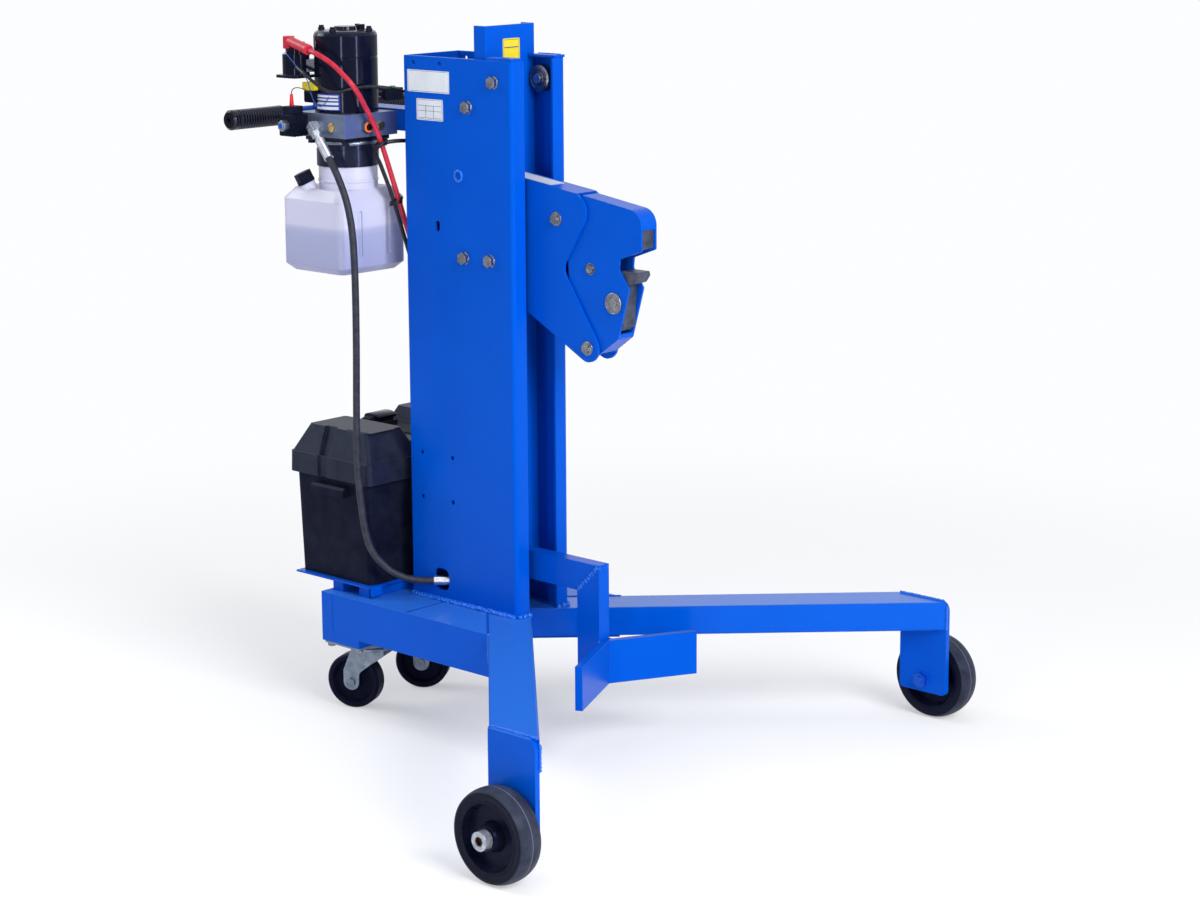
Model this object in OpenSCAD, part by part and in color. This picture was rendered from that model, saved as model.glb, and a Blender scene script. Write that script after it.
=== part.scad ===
// Portable drum palletizer: a wheeled V-leg base carries a welded mast, a
// hydraulic lift carriage with a beak clamp for the rim of a steel drum, a
// V brace for the drum's side, a battery box and an electric power unit.
// +X points to the drum, +Y to the left of the person at the handle, +Z up.

/* [Base] */
// Height of the welded base box
base_h = 76; // [62:1:90]
// Width of the base box
base_w = 334; // [300:2:370]
// Rear edge of the base box
base_back = -311; // [-330:1:-300]
// Plate of the base box
base_t = 6; // [4:0.5:8]
// Depth of the cross tube at the rear edge
rear_tube_d = 25; // [20:1:32]
// Thickness of the pads welded under the rear corners
pad_t = 15; // [10:1:20]

/* [Legs] */
// Angle of each leg from the centre line
leg_a = 45; // [42:1:48]
// Width of the leg tube
leg_w = 76; // [60:1:84]
// Height of the leg tube
leg_h = 51; // [44:1:58]
// Wall of the leg tube
leg_t = 5; // [3:0.5:7]
// Where the inner edges of the two legs meet on the centre line
leg_apex = 54; // [40:1:70]
// Inner face of the wheel plate from the centre line
plate_y = 520; // [470:5:570]
// Thickness of the wheel plate
plate_t = 10; // [8:0.5:14]
// Width of the wheel plate
plate_w = 100; // [92:1:110]
// Lower edge of the wheel plate over the floor
plate_z = 54; // [48:1:56]

/* [Front wheels] */
// Radius of the wheel
wheel_r = 76.2; // [70:0.2:80]
// Width of the tread
wheel_w = 46; // [40:1:50]
// Drop of the tread from its middle to its edge
crown = 5; // [2:0.5:7]
// Radius of the shoulder bolt that the wheel turns on
axle_r = 9.5; // [8:0.5:11]
// Length of the bolt head
axle_head = 15; // [12:1:18]

/* [Casters] */
// Radius of the caster wheel
cast_r = 50.8; // [46:0.2:51]
// Width of the caster wheel
cast_w = 32; // [26:1:36]
// Swivel axis along X
cast_x = -264; // [-266:1:-258]
// Swivel axis from the centre line
cast_y = 87; // [87:1:92]
// Distance from the swivel axis to the wheel axle
trail = 35; // [30:1:35]
// Height of the swivel race over the fork crown
race_h = 19; // [18:0.5:22]
// Swivel angle of the right caster as it stands
swivel_near = 23; // [-90:1:90]
// Swivel angle of the left caster as it stands
swivel_far = 34; // [-90:1:90]

/* [Mast] */
// Height of the top edge over the floor
mast_top = 1192; // [1150:2:1230]
// Outer width of the mast
mast_w = 132; // [124:1:142]
// Rear face of the mast
mast_back = -175; // [-190:1:-165]
// Front face of the mast
mast_front = 84.5; // [78:0.5:92]
// Sheet of the mast
mast_t = 4.8; // [4:0.2:6]
// Width of the flange folded in at the front
flange_w = 31; // [24:1:34]
// Outer radius of the fold
fold_r = 8; // [6.5:0.5:12]
// Size of the access window for the hose
slot_w = 37; // [32:1:42]
// Centre of the access window along X
slot_x = -101.5; // [-108:0.5:-96]
// Height of the hose port over the deck
port_h = 39; // [36:1:42]

/* [Carriage] */
// Front face of the carriage
car_front = 19.5; // [16:0.5:23]
// Width of the carriage
car_w = 120; // [112:1:121]
// Depth of the carriage flanges
car_d = 28; // [24:1:32]
// Wall of the carriage
car_t = 6; // [4:0.5:8]
// Top edge of the lowered carriage
car_top = 1248; // [1200:2:1280]
// Bottom edge of the lowered carriage
car_bot = 272; // [262:1:280]
// Lift of the carriage
lift = 495; // [420:5:520]

/* [Mast rollers] */
// Radius of the rollers that carry the load
roll_r = 23; // [20:0.5:25]
// Radius of the keeper rollers
keep_r = 11; // [9:0.5:13]
// Width of the rollers
roll_w = 18; // [14:1:20]
// Radius of the roller bolts
bolt_r = 6; // [5:0.5:7]
// Heights of the bolts: load roller in front, keeper behind
top_front_z = 1155; // [1140:1:1160]
// Height of the upper keeper roller
top_rear_z = 1110; // [1100:1:1120]
// Height of the lower load roller behind the carriage
low_rear_z = 850; // [840:1:880]
// Height of the lower keeper roller in front of the carriage
low_front_z = 851; // [841:1:881]

/* [Lift cylinder] */
// Centre of the cylinder along X
cyl_x = -52; // [-60:1:-48]
// Outer radius of the barrel
barrel_r = 25; // [22:0.5:28]
// Wall of the barrel
barrel_t = 5; // [4:0.5:6]
// Length of the closed end under the piston
barrel_end = 14; // [10:1:20]
// Length of the piston
piston_l = 17; // [12:1:24]
// Length of the gland nut at the top of the barrel
gland_l = 34; // [26:1:44]
// Radius of the piston rod
rod_r = 14; // [10:0.5:16]

/* [Clamp head] */
// Pivot pin of the clamp head along X
pin_x = 218; // [210:1:226]
// Pivot pin of the clamp head over the floor
pin_z = 716.5; // [706:0.5:728]
// Radius of the pivot pins
pin_r = 8; // [6:0.5:10]
// Outer width of the arm
arm_w = 51; // [49:0.5:58]
// Plate of the arm
arm_t = 4.8; // [3.5:0.2:5.4]
// Outer width of the clamp head
head_w = 39; // [36:0.5:40]
// Plate of the clamp head
head_t = 4; // [3:0.2:4.4]
// Width of the beak
beak_w = 30; // [24:0.5:30.4]

/* [Drum brace] */
// Top of the brace arm over the floor
brace_top = 338; // [330:1:350]
// Height of the brace tube
brace_h = 51; // [44:1:56]
// Width of the brace tube
brace_w = 25.4; // [22:0.2:30]
// Front face of the brace post
post_front = 229; // [215:1:245]
// Lower end of the brace post
post_bot = 142; // [135:1:160]
// Wall of the brace tube
brace_t = 3.2; // [2:0.2:5]
// Half span of the V plate
vee_y = 146; // [130:1:170]
// Forward reach of each wing of the V plate
vee_x = 73; // [50:1:90]
// Height of the V plate
vee_h = 76; // [60:1:90]
// Top of the V plate over the floor
vee_top = 205; // [198:1:212]
// Thickness of the V plate
vee_t = 12.7; // [8:0.1:14]

/* [Handle] */
// Centre of the handle bar along X
bar_x = -460; // [-490:1:-440]
// Centre of the handle bar over the floor
bar_z = 1073; // [1068:1:1078]
// Half length of the handle bar with its grips
bar_y = 225; // [215:1:245]
// Radius of the handle bar
bar_r = 12.7; // [11:0.1:14]
// Radius of the grips
grip_r = 18; // [16:0.5:20]
// Length of the grips
grip_l = 120; // [105:1:130]
// Width of the stem tube
stem_w = 51; // [40:1:60]
// Height of the stem tube
stem_h = 38; // [32:1:44]

/* [Power unit] */
// Side of the manifold block
man_s = 124.6; // [118:0.2:130]
// Height of the manifold block
man_h = 41; // [36:1:46]
// Front face of the manifold block
man_front = -238; // [-242:1:-230]
// Radius of the motor
motor_r = 56; // [52:1:60]
// Length of the motor
motor_l = 143; // [130:1:150]
// Side of the tank
tank_s = 160; // [150:1:164]
// Height of the tank body
tank_h = 147; // [125:1:160]
// Shift of the tank body behind the motor axis
tank_back = 14; // [8:1:18]
// Radius of the tank neck
neck_r = 52; // [48:0.5:53]
// Height of the tank neck below its collar
neck_h = 40; // [32:1:48]

/* [Battery] */
// Front edge of the tray
tray_front = -200; // [-204:1:-196]
// Length of the tray along X
tray_l = 195; // [190:1:200]
// Right edge of the tray
tray_near = -152; // [-158:1:-146]
// Length of the tray along Y
tray_w = 354; // [350:2:364]
// Gap between the deck and the tray plate
tray_gap = 19; // [15:1:24]
// Thickness of the tray plate
tray_t = 3; // [2:0.5:4]
// Height of the box below its lid
box_h = 190; // [170:1:200]
// Height of the lid skirt
skirt_h = 38; // [32:1:42]
// Height of the raised parts of the lid over the skirt
hump_h = 50; // [40:1:56]

/* [Hoses and cables] */
// Radius of the hydraulic hose
hose_r = 6.3; // [5:0.1:7]
// Radius of the battery cable
cable_r = 4.5; // [3.5:0.1:5]
// Radius of the ground cable
ground_r = 3.6; // [3:0.1:4]
// Radius of the control cable
wire_r = 3; // [2.5:0.1:3.5]

/* [Hidden] */
$fn = 48;

// Clearances
run = 0.05;        // radial running clearance
gap = 0.3;         // clearance between moving pieces
step = 0.5;        // axial play of wheels and rollers

// The plan origin is the middle of the machine's overall length
x_mid = (wheel_x() + wheel_r + bar_x - grip_r) / 2;
function wheel_x() = leg_apex - leg_w / sin(leg_a) / 2 + plate_y / tan(leg_a) + 3;

wx = wheel_x();
leg_back = leg_apex - leg_w / sin(leg_a);
plate_out = plate_y + plate_t;
wheel_y = plate_out + 32;
head_in = wheel_y + wheel_w / 2 + 2;
rim_r = wheel_r * 0.79;
axle_end = head_in + axle_head;
cast_plate_t = 5;
crown_z = cast_r * 2 + 11;
race_z = crown_z + race_h + gap;
pad_z = race_z + cast_plate_t;
pan_z = pad_z + pad_t;
deck_z = pan_z + base_h;
slot_z = deck_z + port_h;
mast_in = mast_w / 2 - mast_t;
car_back = car_front - car_d;
car_web = car_front - car_t;
tf_x = car_front + gap + roll_r;
tr_x = car_back - gap - keep_r;
lr_x = car_back - gap - roll_r;
lf_x = car_front + gap + keep_r;
roll_y = mast_in - 1 - roll_w / 2;
bore_r = barrel_r - barrel_t;
piston_z = deck_z + barrel_end + gap;
barrel_top = piston_z + piston_l + lift + gap + gland_l;
lug_z = barrel_top + 50;
man_near = -stem_w / 2 - man_s;
unit_x = man_front - man_s / 2;
unit_y = man_near + man_s / 2;
man_top = bar_z + 16;
man_bot = man_top - man_h;
motor_top = man_top + motor_l;
collar_z = man_bot - 53;
neck_z = collar_z - neck_h;
tank_x = unit_x - tank_back;
tray_z = deck_z + tray_gap + tray_t;
tray_x = tray_front - tray_l / 2;
tray_y = tray_near + tray_w / 2;
lid_z = tray_z + box_h - 5;
lid_w = tray_l + 18;
lid_l = tray_w - 2;
hump_z = lid_z + skirt_h;
box_mid = tray_x - 4;
vee_a = atan(vee_x / vee_y);
vee_v = post_front + vee_t / cos(vee_a) - 3;
switch_y = bar_y - grip_l + 58;
socket_x = -187;
socket_z = lid_z + 31;

// Corner and ribbon outlines
function unit(v) = v / norm(v);
function left(a, b) = let (d = unit(b - a)) [-d[1], d[0]];
function turn(a, b, c) = cross(b - a, c - b);
function fillet(a, b, c, r, n) = r <= 0 ? [b] :
    let (u = unit(a - b), v = unit(c - b), h = acos(u * v) / 2,
        m = b + unit(u + v) * r / sin(h),
        s = b + u * r / tan(h) - m, e = b + v * r / tan(h) - m,
        p = atan2(s[1], s[0]), q = atan2(e[1], e[0]),
        w = (q - p + 540) % 360 - 180)
    [for (i = [0:n]) m + r * [cos(p + w * i / n), sin(p + w * i / n)]];
// Closed outline: each point is [x, y, corner radius]
function outline(p, n = 6) = [for (i = [0:len(p) - 1])
    let (a = p[(i + len(p) - 1) % len(p)], b = p[i], c = p[(i + 1) % len(p)])
    each fillet([a[0], a[1]], [b[0], b[1]], [c[0], c[1]], b[2], n)];
// Open path of [x, y, corner radius], shifted by t to its left
function shifted(p, t, n = 6) = let (k = len(p) - 1,
    q = [for (i = [0:k]) [p[i][0], p[i][1]]],
    s = [for (i = [0:k]) i == 0 ? q[0] + left(q[0], q[1]) * t
        : i == k ? q[k] + left(q[k - 1], q[k]) * t
        : let (u = left(q[i - 1], q[i]), v = left(q[i], q[i + 1]))
            q[i] + (u + v) * t / (1 + u * v)])
    [s[0], for (i = [1:1:k - 1]) each fillet(s[i - 1], s[i], s[i + 1],
        p[i][2] <= 0 ? 0 : turn(q[i - 1], q[i], q[i + 1]) > 0 ? p[i][2] - t : p[i][2] + t, n),
        s[k]];
function reversed(p) = [for (i = [len(p) - 1:-1:0]) p[i]];
function ribbon(p, t, n = 6) = concat(shifted(p, 0, n), reversed(shifted(p, t, n)));

// Swept tubes for the hose and cables
function cr(a, b, c, d, t) = (2 * b + (c - a) * t + (2 * a - 5 * b + 4 * c - d) * t * t
    + (3 * b - a - 3 * c + d) * t * t * t) / 2;
// The first and last stretches stay straight, square to what they meet
function smooth(p, k) = let (n = len(p) - 1) [for (i = [0:n - 1]) for (j = [0:k - 1])
    i == 0 || i == n - 1 ? p[i] + (p[i + 1] - p[i]) * j / k
        : cr(p[i - 1], p[i], p[i + 1], p[i + 2], j / k), p[n]];
function along(c, i) = i == 0 ? unit(c[1] - c[0]) : i == len(c) - 1
    ? unit(c[i] - c[i - 1]) : unit(c[i + 1] - c[i - 1]);
function sides_of(c, s, i = 0) = i == len(c) ? [] :
    let (t = along(c, i), u = unit(s - (s * t) * t)) concat([u], sides_of(c, u, i + 1));
module sweep(c, r, n, first = [0, 0, 1]) {
    u = sides_of(c, first);
    pts = [for (i = [0:len(c) - 1]) let (v = cross(along(c, i), u[i]))
        for (j = [0:n - 1]) c[i] + r * (cos(360 * j / n) * u[i] + sin(360 * j / n) * v)];
    polyhedron(pts, concat([[for (j = [0:n - 1]) j]],
        [[for (j = [0:n - 1]) len(c) * n - 1 - j]],
        [for (i = [0:len(c) - 2]) for (j = [0:n - 1]) let (a = i * n + j, b = i * n + (j + 1) % n)
            each [[a, a + n, b + n], [a, b + n, b]]]));
}

// Shared shapes. Flat work on the side of the machine is drawn in X and Z.
module shift() { translate([-x_mid, 0, 0]) children(); }
module upright(y0, t) { translate([0, y0 + t, 0]) rotate([90, 0, 0]) linear_extrude(t) children(); }
module rod_y(x, z, y0, y1, r) { translate([x, y0, z]) rotate([-90, 0, 0]) cylinder(h = y1 - y0, r = r); }
module rod_z(x, y, z0, z1, r) { translate([x, y, z0]) cylinder(h = z1 - z0, r = r); }
module rod_x(x0, x1, y, z, r) { translate([x0, y, z]) rotate([0, 90, 0]) cylinder(h = x1 - x0, r = r); }
module hex_y(x, z, y0, y1, af) {
    translate([x, y0, z]) rotate([-90, 0, 0]) rotate(30) cylinder(h = y1 - y0, d = af / cos(30), $fn = 6);
}
module both() { children(); mirror([0, 1, 0]) children(); }
module aim(p, d) {
    translate(p) rotate([0, acos(d[2] / norm(d)), atan2(d[1], d[0])]) children();
}
module rounded_block(x0, x1, y0, y1, r) {
    polygon(outline([[x0, y0, r], [x1, y0, r], [x1, y1, r], [x0, y1, r]]));
}

// Welded base box: a pan folded from plate, open below, with the rear cross
// tube closed in and the thick pads that the casters bolt to
module base_outline(t) {
    w = base_w / 2 - t;
    v = leg_back - t / sin(leg_a);
    polygon([[base_back + (t > 0 ? rear_tube_d : 0), -w], [v + w / tan(leg_a), -w], [v, 0],
        [v + w / tan(leg_a), w], [base_back + (t > 0 ? rear_tube_d : 0), w]]);
}
pad_x0 = base_back;
pad_x1 = 2 * cast_x - base_back + 2;
pad_in = 2 * cast_y - base_w / 2;
module base_box() {
    color("#1257c8") {
        translate([0, 0, pan_z]) difference() {
            linear_extrude(base_h) base_outline(0);
            translate([0, 0, -1]) linear_extrude(base_h - base_t + 1) base_outline(base_t);
        }
        both() translate([pad_x0, pad_in, pad_z]) cube([pad_x1 - pad_x0, base_w / 2 - pad_in, pad_t + 0.5]);
        // Gussets that carry the inner edge of each pad from the rear tube
        both() translate([base_back + rear_tube_d, pad_in, pan_z])
            cube([pad_x1 - base_back - rear_tube_d, base_t, base_h - base_t]);
    }
}

// Leg tube, mitred on the centre line and cut flush for the wheel plate
module leg_outline(t) {
    a = t / sin(leg_a);
    polygon([[leg_apex - a, 0], [leg_apex - a + plate_y / tan(leg_a), plate_y],
        [leg_back + a + plate_y / tan(leg_a), plate_y], [leg_back + a, 0]]);
}
module leg(side) {
    color("#1257c8") mirror([0, side < 0 ? 1 : 0, 0]) translate([0, 0, deck_z - leg_h]) difference() {
        linear_extrude(leg_h) leg_outline(0);
        translate([0, 0, leg_t]) linear_extrude(leg_h - 2 * leg_t) leg_outline(leg_t);
    }
}
module wheel_plates() {
    color("#1257c8") both() difference() {
        upright(plate_y, plate_t) polygon(outline([[wx - plate_w / 2, plate_z, 8],
            [wx + plate_w / 2, plate_z, 8], [wx + plate_w / 2, deck_z, 18], [wx - plate_w / 2, deck_z, 3]]));
        rod_y(wx, wheel_r, plate_y - 1, plate_out + 1, axle_r - 1.5 + 0.2);
    }
}

// Front wheel: crowned tyre with a parting line on a dished core
module tyre(side) {
    w = wheel_w / 2;
    color("#26262a") translate([wx, side * wheel_y, wheel_r]) rotate([-90 * side, 0, 0])
        rotate_extrude($fn = 72) polygon(concat([[rim_r, -w + 1]],
            [for (i = [-6:6]) let (s = i / 6.4) [wheel_r - crown * pow(abs(s), 2.4), w * s]],
            [[wheel_r - crown - 3, w], [rim_r, w - 1]]));
}
module hub(side) {
    w = wheel_w / 2;
    i = wheel_y - plate_out - step;
    o = head_in - wheel_y - step;
    color("#1b1b1e") translate([wx, side * wheel_y, wheel_r]) rotate([-90 * side, 0, 0])
        rotate_extrude($fn = 72) polygon([[rim_r, -w + 1], [rim_r, w - 1], [rim_r - 6, w - 1],
            [rim_r - 11, 7], [25, 7], [21, o - 4], [19, o], [axle_r + run, o], [axle_r + run, -i], [19, -i],
            [23, -7], [rim_r - 11, -7], [rim_r - 6, -w + 1]]);
}
module front_axles() {
    color("#b9bcc0") both() difference() {
        union() {
            rod_y(wx, wheel_r, plate_out, head_in + 1, axle_r);
            rod_y(wx, wheel_r, plate_y - 14, plate_out + 1, axle_r - 1.5);
            hex_y(wx, wheel_r, plate_y - 11, plate_y, 24);
            rod_y(wx, wheel_r, head_in, axle_end, axle_r + 6);
        }
        translate([wx, axle_end - 8, wheel_r]) rotate([-90, 0, 0]) cylinder(h = 9, r = 7, $fn = 6);
    }
}

// Swivel casters
module caster_plates() {
    color("#c9ccd0") both() {
        {
            translate([pad_x0 + 3, pad_in + 4, race_z])
                cube([pad_x1 - pad_x0 - 6, base_w / 2 - pad_in - 8, cast_plate_t]);
            rod_z(cast_x, cast_y, race_z - 7, race_z + 1, 36);
            rod_z(cast_x, cast_y, crown_z - 4, race_z + 1, 8);
            rod_z(cast_x, cast_y, crown_z - 5, crown_z - gap, 13);
            for (a = [pad_x0 + 12, pad_x1 - 12], b = [pad_in + 12, base_w / 2 - 12])
                translate([a, b, race_z - 6]) cylinder(h = 6.5, d = 13 / cos(30), $fn = 6);
        }
    }
}
module fork(side) {
    a = cast_w / 2 + 2.5;
    k = [-trail, cast_r];
    color("#c9ccd0") translate([cast_x, side * cast_y, 0]) rotate(side < 0 ? swivel_near : swivel_far) {
        difference() {
            union() {
                translate([0, 0, crown_z]) cylinder(h = 6, r = 34);
                translate([0, 0, crown_z]) cylinder(h = race_h - 7, r = 29);
                for (s = [-1, 1]) upright(s > 0 ? a : -a - 4, 4) polygon(outline([
                    [k[0] - 15, k[1] - 15, 14.9], [k[0] + 15, k[1] - 15, 14.9], [k[0] + 16, k[1] + 18, 12],
                    [4, crown_z - 26, 14], [30, crown_z - 8, 4], [30, crown_z + 5, 0],
                    [-32, crown_z + 5, 0], [k[0] - 15, k[1] + 22, 10]]));
                // Axle bolt with its head and nut
                rod_y(k[0], k[1], -a - 7, a + 7, 6.3);
                hex_y(k[0], k[1], a + 3.9, a + 10, 15);
                hex_y(k[0], k[1], -a - 9, -a - 3.9, 15);
            }
            translate([0, 0, crown_z - 10]) cylinder(h = 40, r = 8 + run);
            translate([0, 0, crown_z - 10]) cylinder(h = 10 + 0.01, r = 14);
        }
    }
}
module caster_wheel(side) {
    w = cast_w / 2;
    color("#1b1b1e") translate([cast_x, side * cast_y, 0]) rotate(side < 0 ? swivel_near : swivel_far)
        translate([-trail, 0, cast_r]) rotate([90, 0, 0]) rotate_extrude($fn = 64) polygon([
            [6.3 + run, -w - 2], [13, -w - 2], [16, -5], [cast_r - 14, -5], [cast_r - 10, -w], [cast_r - 3, -w],
            [cast_r, -w + 4], [cast_r, w - 4], [cast_r - 3, w], [cast_r - 10, w], [cast_r - 14, 5], [16, 5],
            [13, w + 2], [6.3 + run, w + 2]]);
}

// Mast side: one sheet folded in at the front, with the holes and windows
mast_h = mast_top - deck_z;
panel_x = -108.5;
panel_z = 452;
panel_dx = 76.2;
panel_dz = 80;
panel_r = 3.75;
module side_plan() {
    w = mast_w / 2;
    translate([mast_back, w - mast_t]) square([mast_front - fold_r - mast_back, mast_t]);
    translate([mast_front - mast_t, w - flange_w]) square([mast_t, flange_w - fold_r]);
    translate([mast_front - fold_r, w - fold_r]) difference() {
        intersection() { circle(fold_r); square(fold_r + 1); }
        circle(fold_r - mast_t);
    }
}
module mast_side(side) {
    w = mast_w / 2;
    color("#0d4fc0") mirror([0, side < 0 ? 1 : 0, 0]) difference() {
        translate([0, 0, deck_z]) linear_extrude(mast_h) side_plan();
        // Bolts of the four rollers
        for (p = [[tf_x, top_front_z], [tr_x, top_rear_z], [lr_x, low_rear_z], [lf_x, low_front_z]])
            rod_y(p[0], p[1], w - mast_t - 1, w + 1, bolt_r);
        // Four holes for an accessory panel, two lifting holes and a sight slot
        for (x = [-1, 1], z = [-1, 1]) rod_y(panel_x + x * panel_dx / 2, panel_z + z * panel_dz / 2, w - mast_t - 1, w + 1, panel_r);
        for (x = [-1, 1]) rod_y(mast_back + 55.5 + x * 32.2, mast_top - 12, w - mast_t - 1, w + 1, 4.5);
        translate([-98, w, 900]) for (z = [-4, 4]) rod_y(0, z, -mast_t - 1, 1, 5.5);
        translate([-98 - 5.5, w - mast_t - 1, 896]) cube([11, mast_t + 2, 8]);
        // Window for the hose
        upright(w - mast_t - 1, mast_t + 2) rounded_block(slot_x - slot_w / 2, slot_x + slot_w / 2,
            slot_z - slot_w / 2 - 1, slot_z + slot_w / 2 + 1, 13);
    }
}
module mast_back_plate() {
    color("#0d4fc0") translate([mast_back, -mast_in, deck_z]) cube([mast_t, 2 * mast_in, mast_h]);
}
module rail_caps() {
    color("#1b63dc") both() translate([car_front + 5, mast_w / 2 - flange_w + 5, mast_top])
        cube([mast_front - car_front - 6, flange_w - 5, 4.5]);
}

// Rollers and their bolts
module roller_pair(x, z, r) {
    color("#9da1a6") both() translate([x, roll_y, z]) rotate([90, 0, 0]) rotate_extrude() polygon([
        [bolt_r + run, -roll_w / 2], [r - 3.2, -roll_w / 2], [r, -roll_w / 2 + 2], [r, roll_w / 2 - 2],
        [r - 3.2, roll_w / 2], [bolt_r + run, roll_w / 2]]);
}
module roller_bolts() {
    color("#b9bcc0") both()
        for (p = [[tf_x, top_front_z], [tr_x, top_rear_z], [lr_x, low_rear_z], [lf_x, low_front_z]]) {
            rod_y(p[0], p[1], roll_y - roll_w / 2 - 3, mast_w / 2 + 1, bolt_r);
            rod_y(p[0], p[1], roll_y - roll_w / 2 - 4, roll_y - roll_w / 2 - step, bolt_r + 2.5);
            rod_y(p[0], p[1], mast_w / 2, mast_w / 2 + 1.6, 11);
            hex_y(p[0], p[1], mast_w / 2 + 1.5, mast_w / 2 + 9, 19);
        }
}

// Lift carriage: a channel open to the rear, with the lug for the piston rod
module carriage() {
    w = car_w / 2;
    color("#0f58d6") {
        translate([0, 0, car_bot]) linear_extrude(car_top - car_bot) difference() {
            polygon(outline([[car_back, -w, 0], [car_front, -w, 4], [car_front, w, 4], [car_back, w, 0]]));
            translate([car_back - 1, -w + car_t]) square([car_d - car_t + 1, car_w - 2 * car_t]);
        }
        difference() {
            translate([cyl_x - 22, -26, lug_z]) cube([car_web - cyl_x + 22, 52, 30]);
            rod_z(cyl_x, 0, lug_z - 1, lug_z + 20, rod_r * 0.7);
        }
    }
}
module lift_rod() {
    color("#d7dade") {
        rod_z(cyl_x, 0, piston_z + 1, lug_z, rod_r);
        rod_z(cyl_x, 0, lug_z - 1, lug_z + 20, rod_r * 0.7);
        rod_z(cyl_x, 0, piston_z, piston_z + piston_l, bore_r - run);
    }
}
// Hose port of the cylinder, on the base block
port_d = unit([-0.75, -0.66, 0]);
port_p = [slot_x + 37.5, -30, slot_z - 3];
module cylinder_body() {
    color("#20242c") difference() {
        union() {
            translate([cyl_x - 30, -30, deck_z]) cube([60, 60, 58]);
            rod_z(cyl_x, 0, deck_z + 57, barrel_top, barrel_r);
            rod_z(cyl_x, 0, barrel_top - gland_l + 8, barrel_top, barrel_r + 4);
            aim(port_p - port_d * 10, port_d) cylinder(h = 24, r = 7);
        }
        rod_z(cyl_x, 0, deck_z + barrel_end, barrel_top - gland_l, bore_r);
        rod_z(cyl_x, 0, barrel_top - gland_l - 1, barrel_top + 1, rod_r + run);
    }
}

// Arm: two plates and a top web that carry the clamp head
arm_foot = pin_z + 78.5;
arm_head = pin_z + 281.5;
arm_eye = 24;
arm_neck = [pin_x - 58, pin_z + 129];
pin_c = [pin_x, pin_z];
function normal_at(p, r, s) = let (v = pin_c - p, t = atan2(v[1], v[0]) + s * asin(r / norm(v)))
    [cos(t + s * 90), sin(t + s * 90)];
function corner_at(p, q, r) = let (m = normal_at(p, r, 1), n = normal_at(q, r, -1)) pin_c + (m + n) * r / (1 + m * n);
arm_tip = corner_at(arm_neck, [car_front, arm_foot], arm_eye);
module arm_profile() {
    polygon(outline([[car_front, arm_head, 0], [pin_x + 20, pin_z + 254, 34],
        [arm_neck[0], arm_neck[1], 22], [arm_tip[0], arm_tip[1], arm_eye], [car_front, arm_foot, 0]], 9));
}
module arm_channel() {
    w = arm_w / 2;
    color("#0f58d6") difference() {
        union() {
            both() upright(w - arm_t, arm_t) arm_profile();
            upright(-w, arm_w) polygon(ribbon([[pin_x - 24, pin_z + 259.5, 0], [car_front, arm_head, 0]], arm_t));
        }
        for (p = [[pin_x, pin_z], [pin_x - 70, pin_z + 213]]) rod_y(p[0], p[1], -w - 1, w + 1, pin_r);
        translate([car_front - 20, -w - 1, arm_foot - 5]) cube([20, arm_w + 2, arm_head - arm_foot + 10]);
    }
}
module arm_pins() {
    w = arm_w / 2;
    color("#b9bcc0") for (p = [[pin_x, pin_z], [pin_x - 70, pin_z + 213]]) {
        rod_y(p[0], p[1], -w - 6, w + 6, pin_r);
        both() rod_y(p[0], p[1], w, w + 2, pin_r + 4);
        both() hex_y(p[0], p[1], w + 1.9, w + 8, pin_r * 2 - 1);
    }
}

// Clamp head: two profiled plates, the wrapped nose and the wrapped heel
nose_x = pin_x + 115;
nose_top = pin_z + 256;
lip_z = pin_z + 173.5;
throat = [pin_x + 67, pin_z + 156];
bolt_p = [pin_x + 54.5, pin_z + 81.5];
heel = [pin_x + 63, pin_z + 21.5];
head_eye = 20;
head_rear = [pin_x - 46, pin_z + 70];
head_tip = corner_at(heel, head_rear, head_eye);
heel_run = heel + unit(head_tip - heel) * 48;
heel_start = [heel_run[0], heel_run[1], 0];
module head_profile() {
    polygon(outline([[pin_x - 18, nose_top + 1, 3], [nose_x, nose_top - 18, 28], [nose_x, lip_z, 4],
        [throat[0], throat[1], 3], [throat[0] - 2, throat[1] - 17, 8], [pin_x + 88, pin_z + 107, 5],
        [heel[0], heel[1], 8], [head_tip[0], head_tip[1], head_eye],
        [head_rear[0], head_rear[1], 20], [pin_x - 50, pin_z + 160, 12]], 8));
}
module clamp_head() {
    w = head_w / 2;
    color("#0f5ce0") difference() {
        union() {
            both() upright(w - head_t, head_t) head_profile();
            upright(-w + head_t - 0.5, head_w - 2 * head_t + 1) polygon(ribbon([
                [nose_x, pin_z + 208, 0], [nose_x, nose_top - 18, 28], [pin_x - 16, nose_top + 0.8, 0]], head_t));
            upright(-w + head_t - 0.5, head_w - 2 * head_t + 1) polygon(ribbon([
                heel_start, [heel[0], heel[1], 8], [heel[0] + 2.2, heel[1] + 8, 0]], head_t));
            // Sleeve on the pivot pin
            rod_y(pin_x, pin_z, -w + 1, w - 1, pin_r + 5);
        }
        rod_y(pin_x, pin_z, -w - 1, w + 1, pin_r + run);
        for (p = [[pin_x + 1.5, pin_z + 134], bolt_p]) rod_y(p[0], p[1], -w - 1, w + 1, pin_r - 1);
    }
}
module upper_jaw() {
    w = head_w / 2 - head_t;
    color("#4c4f57") upright(-w, 2 * w) polygon([[nose_x - 33, pin_z + 208], [nose_x - 33, lip_z - 6],
        [nose_x - 3.5, lip_z + 3.5], [nose_x - 3.5, pin_z + 207.5]]);
}
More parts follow.
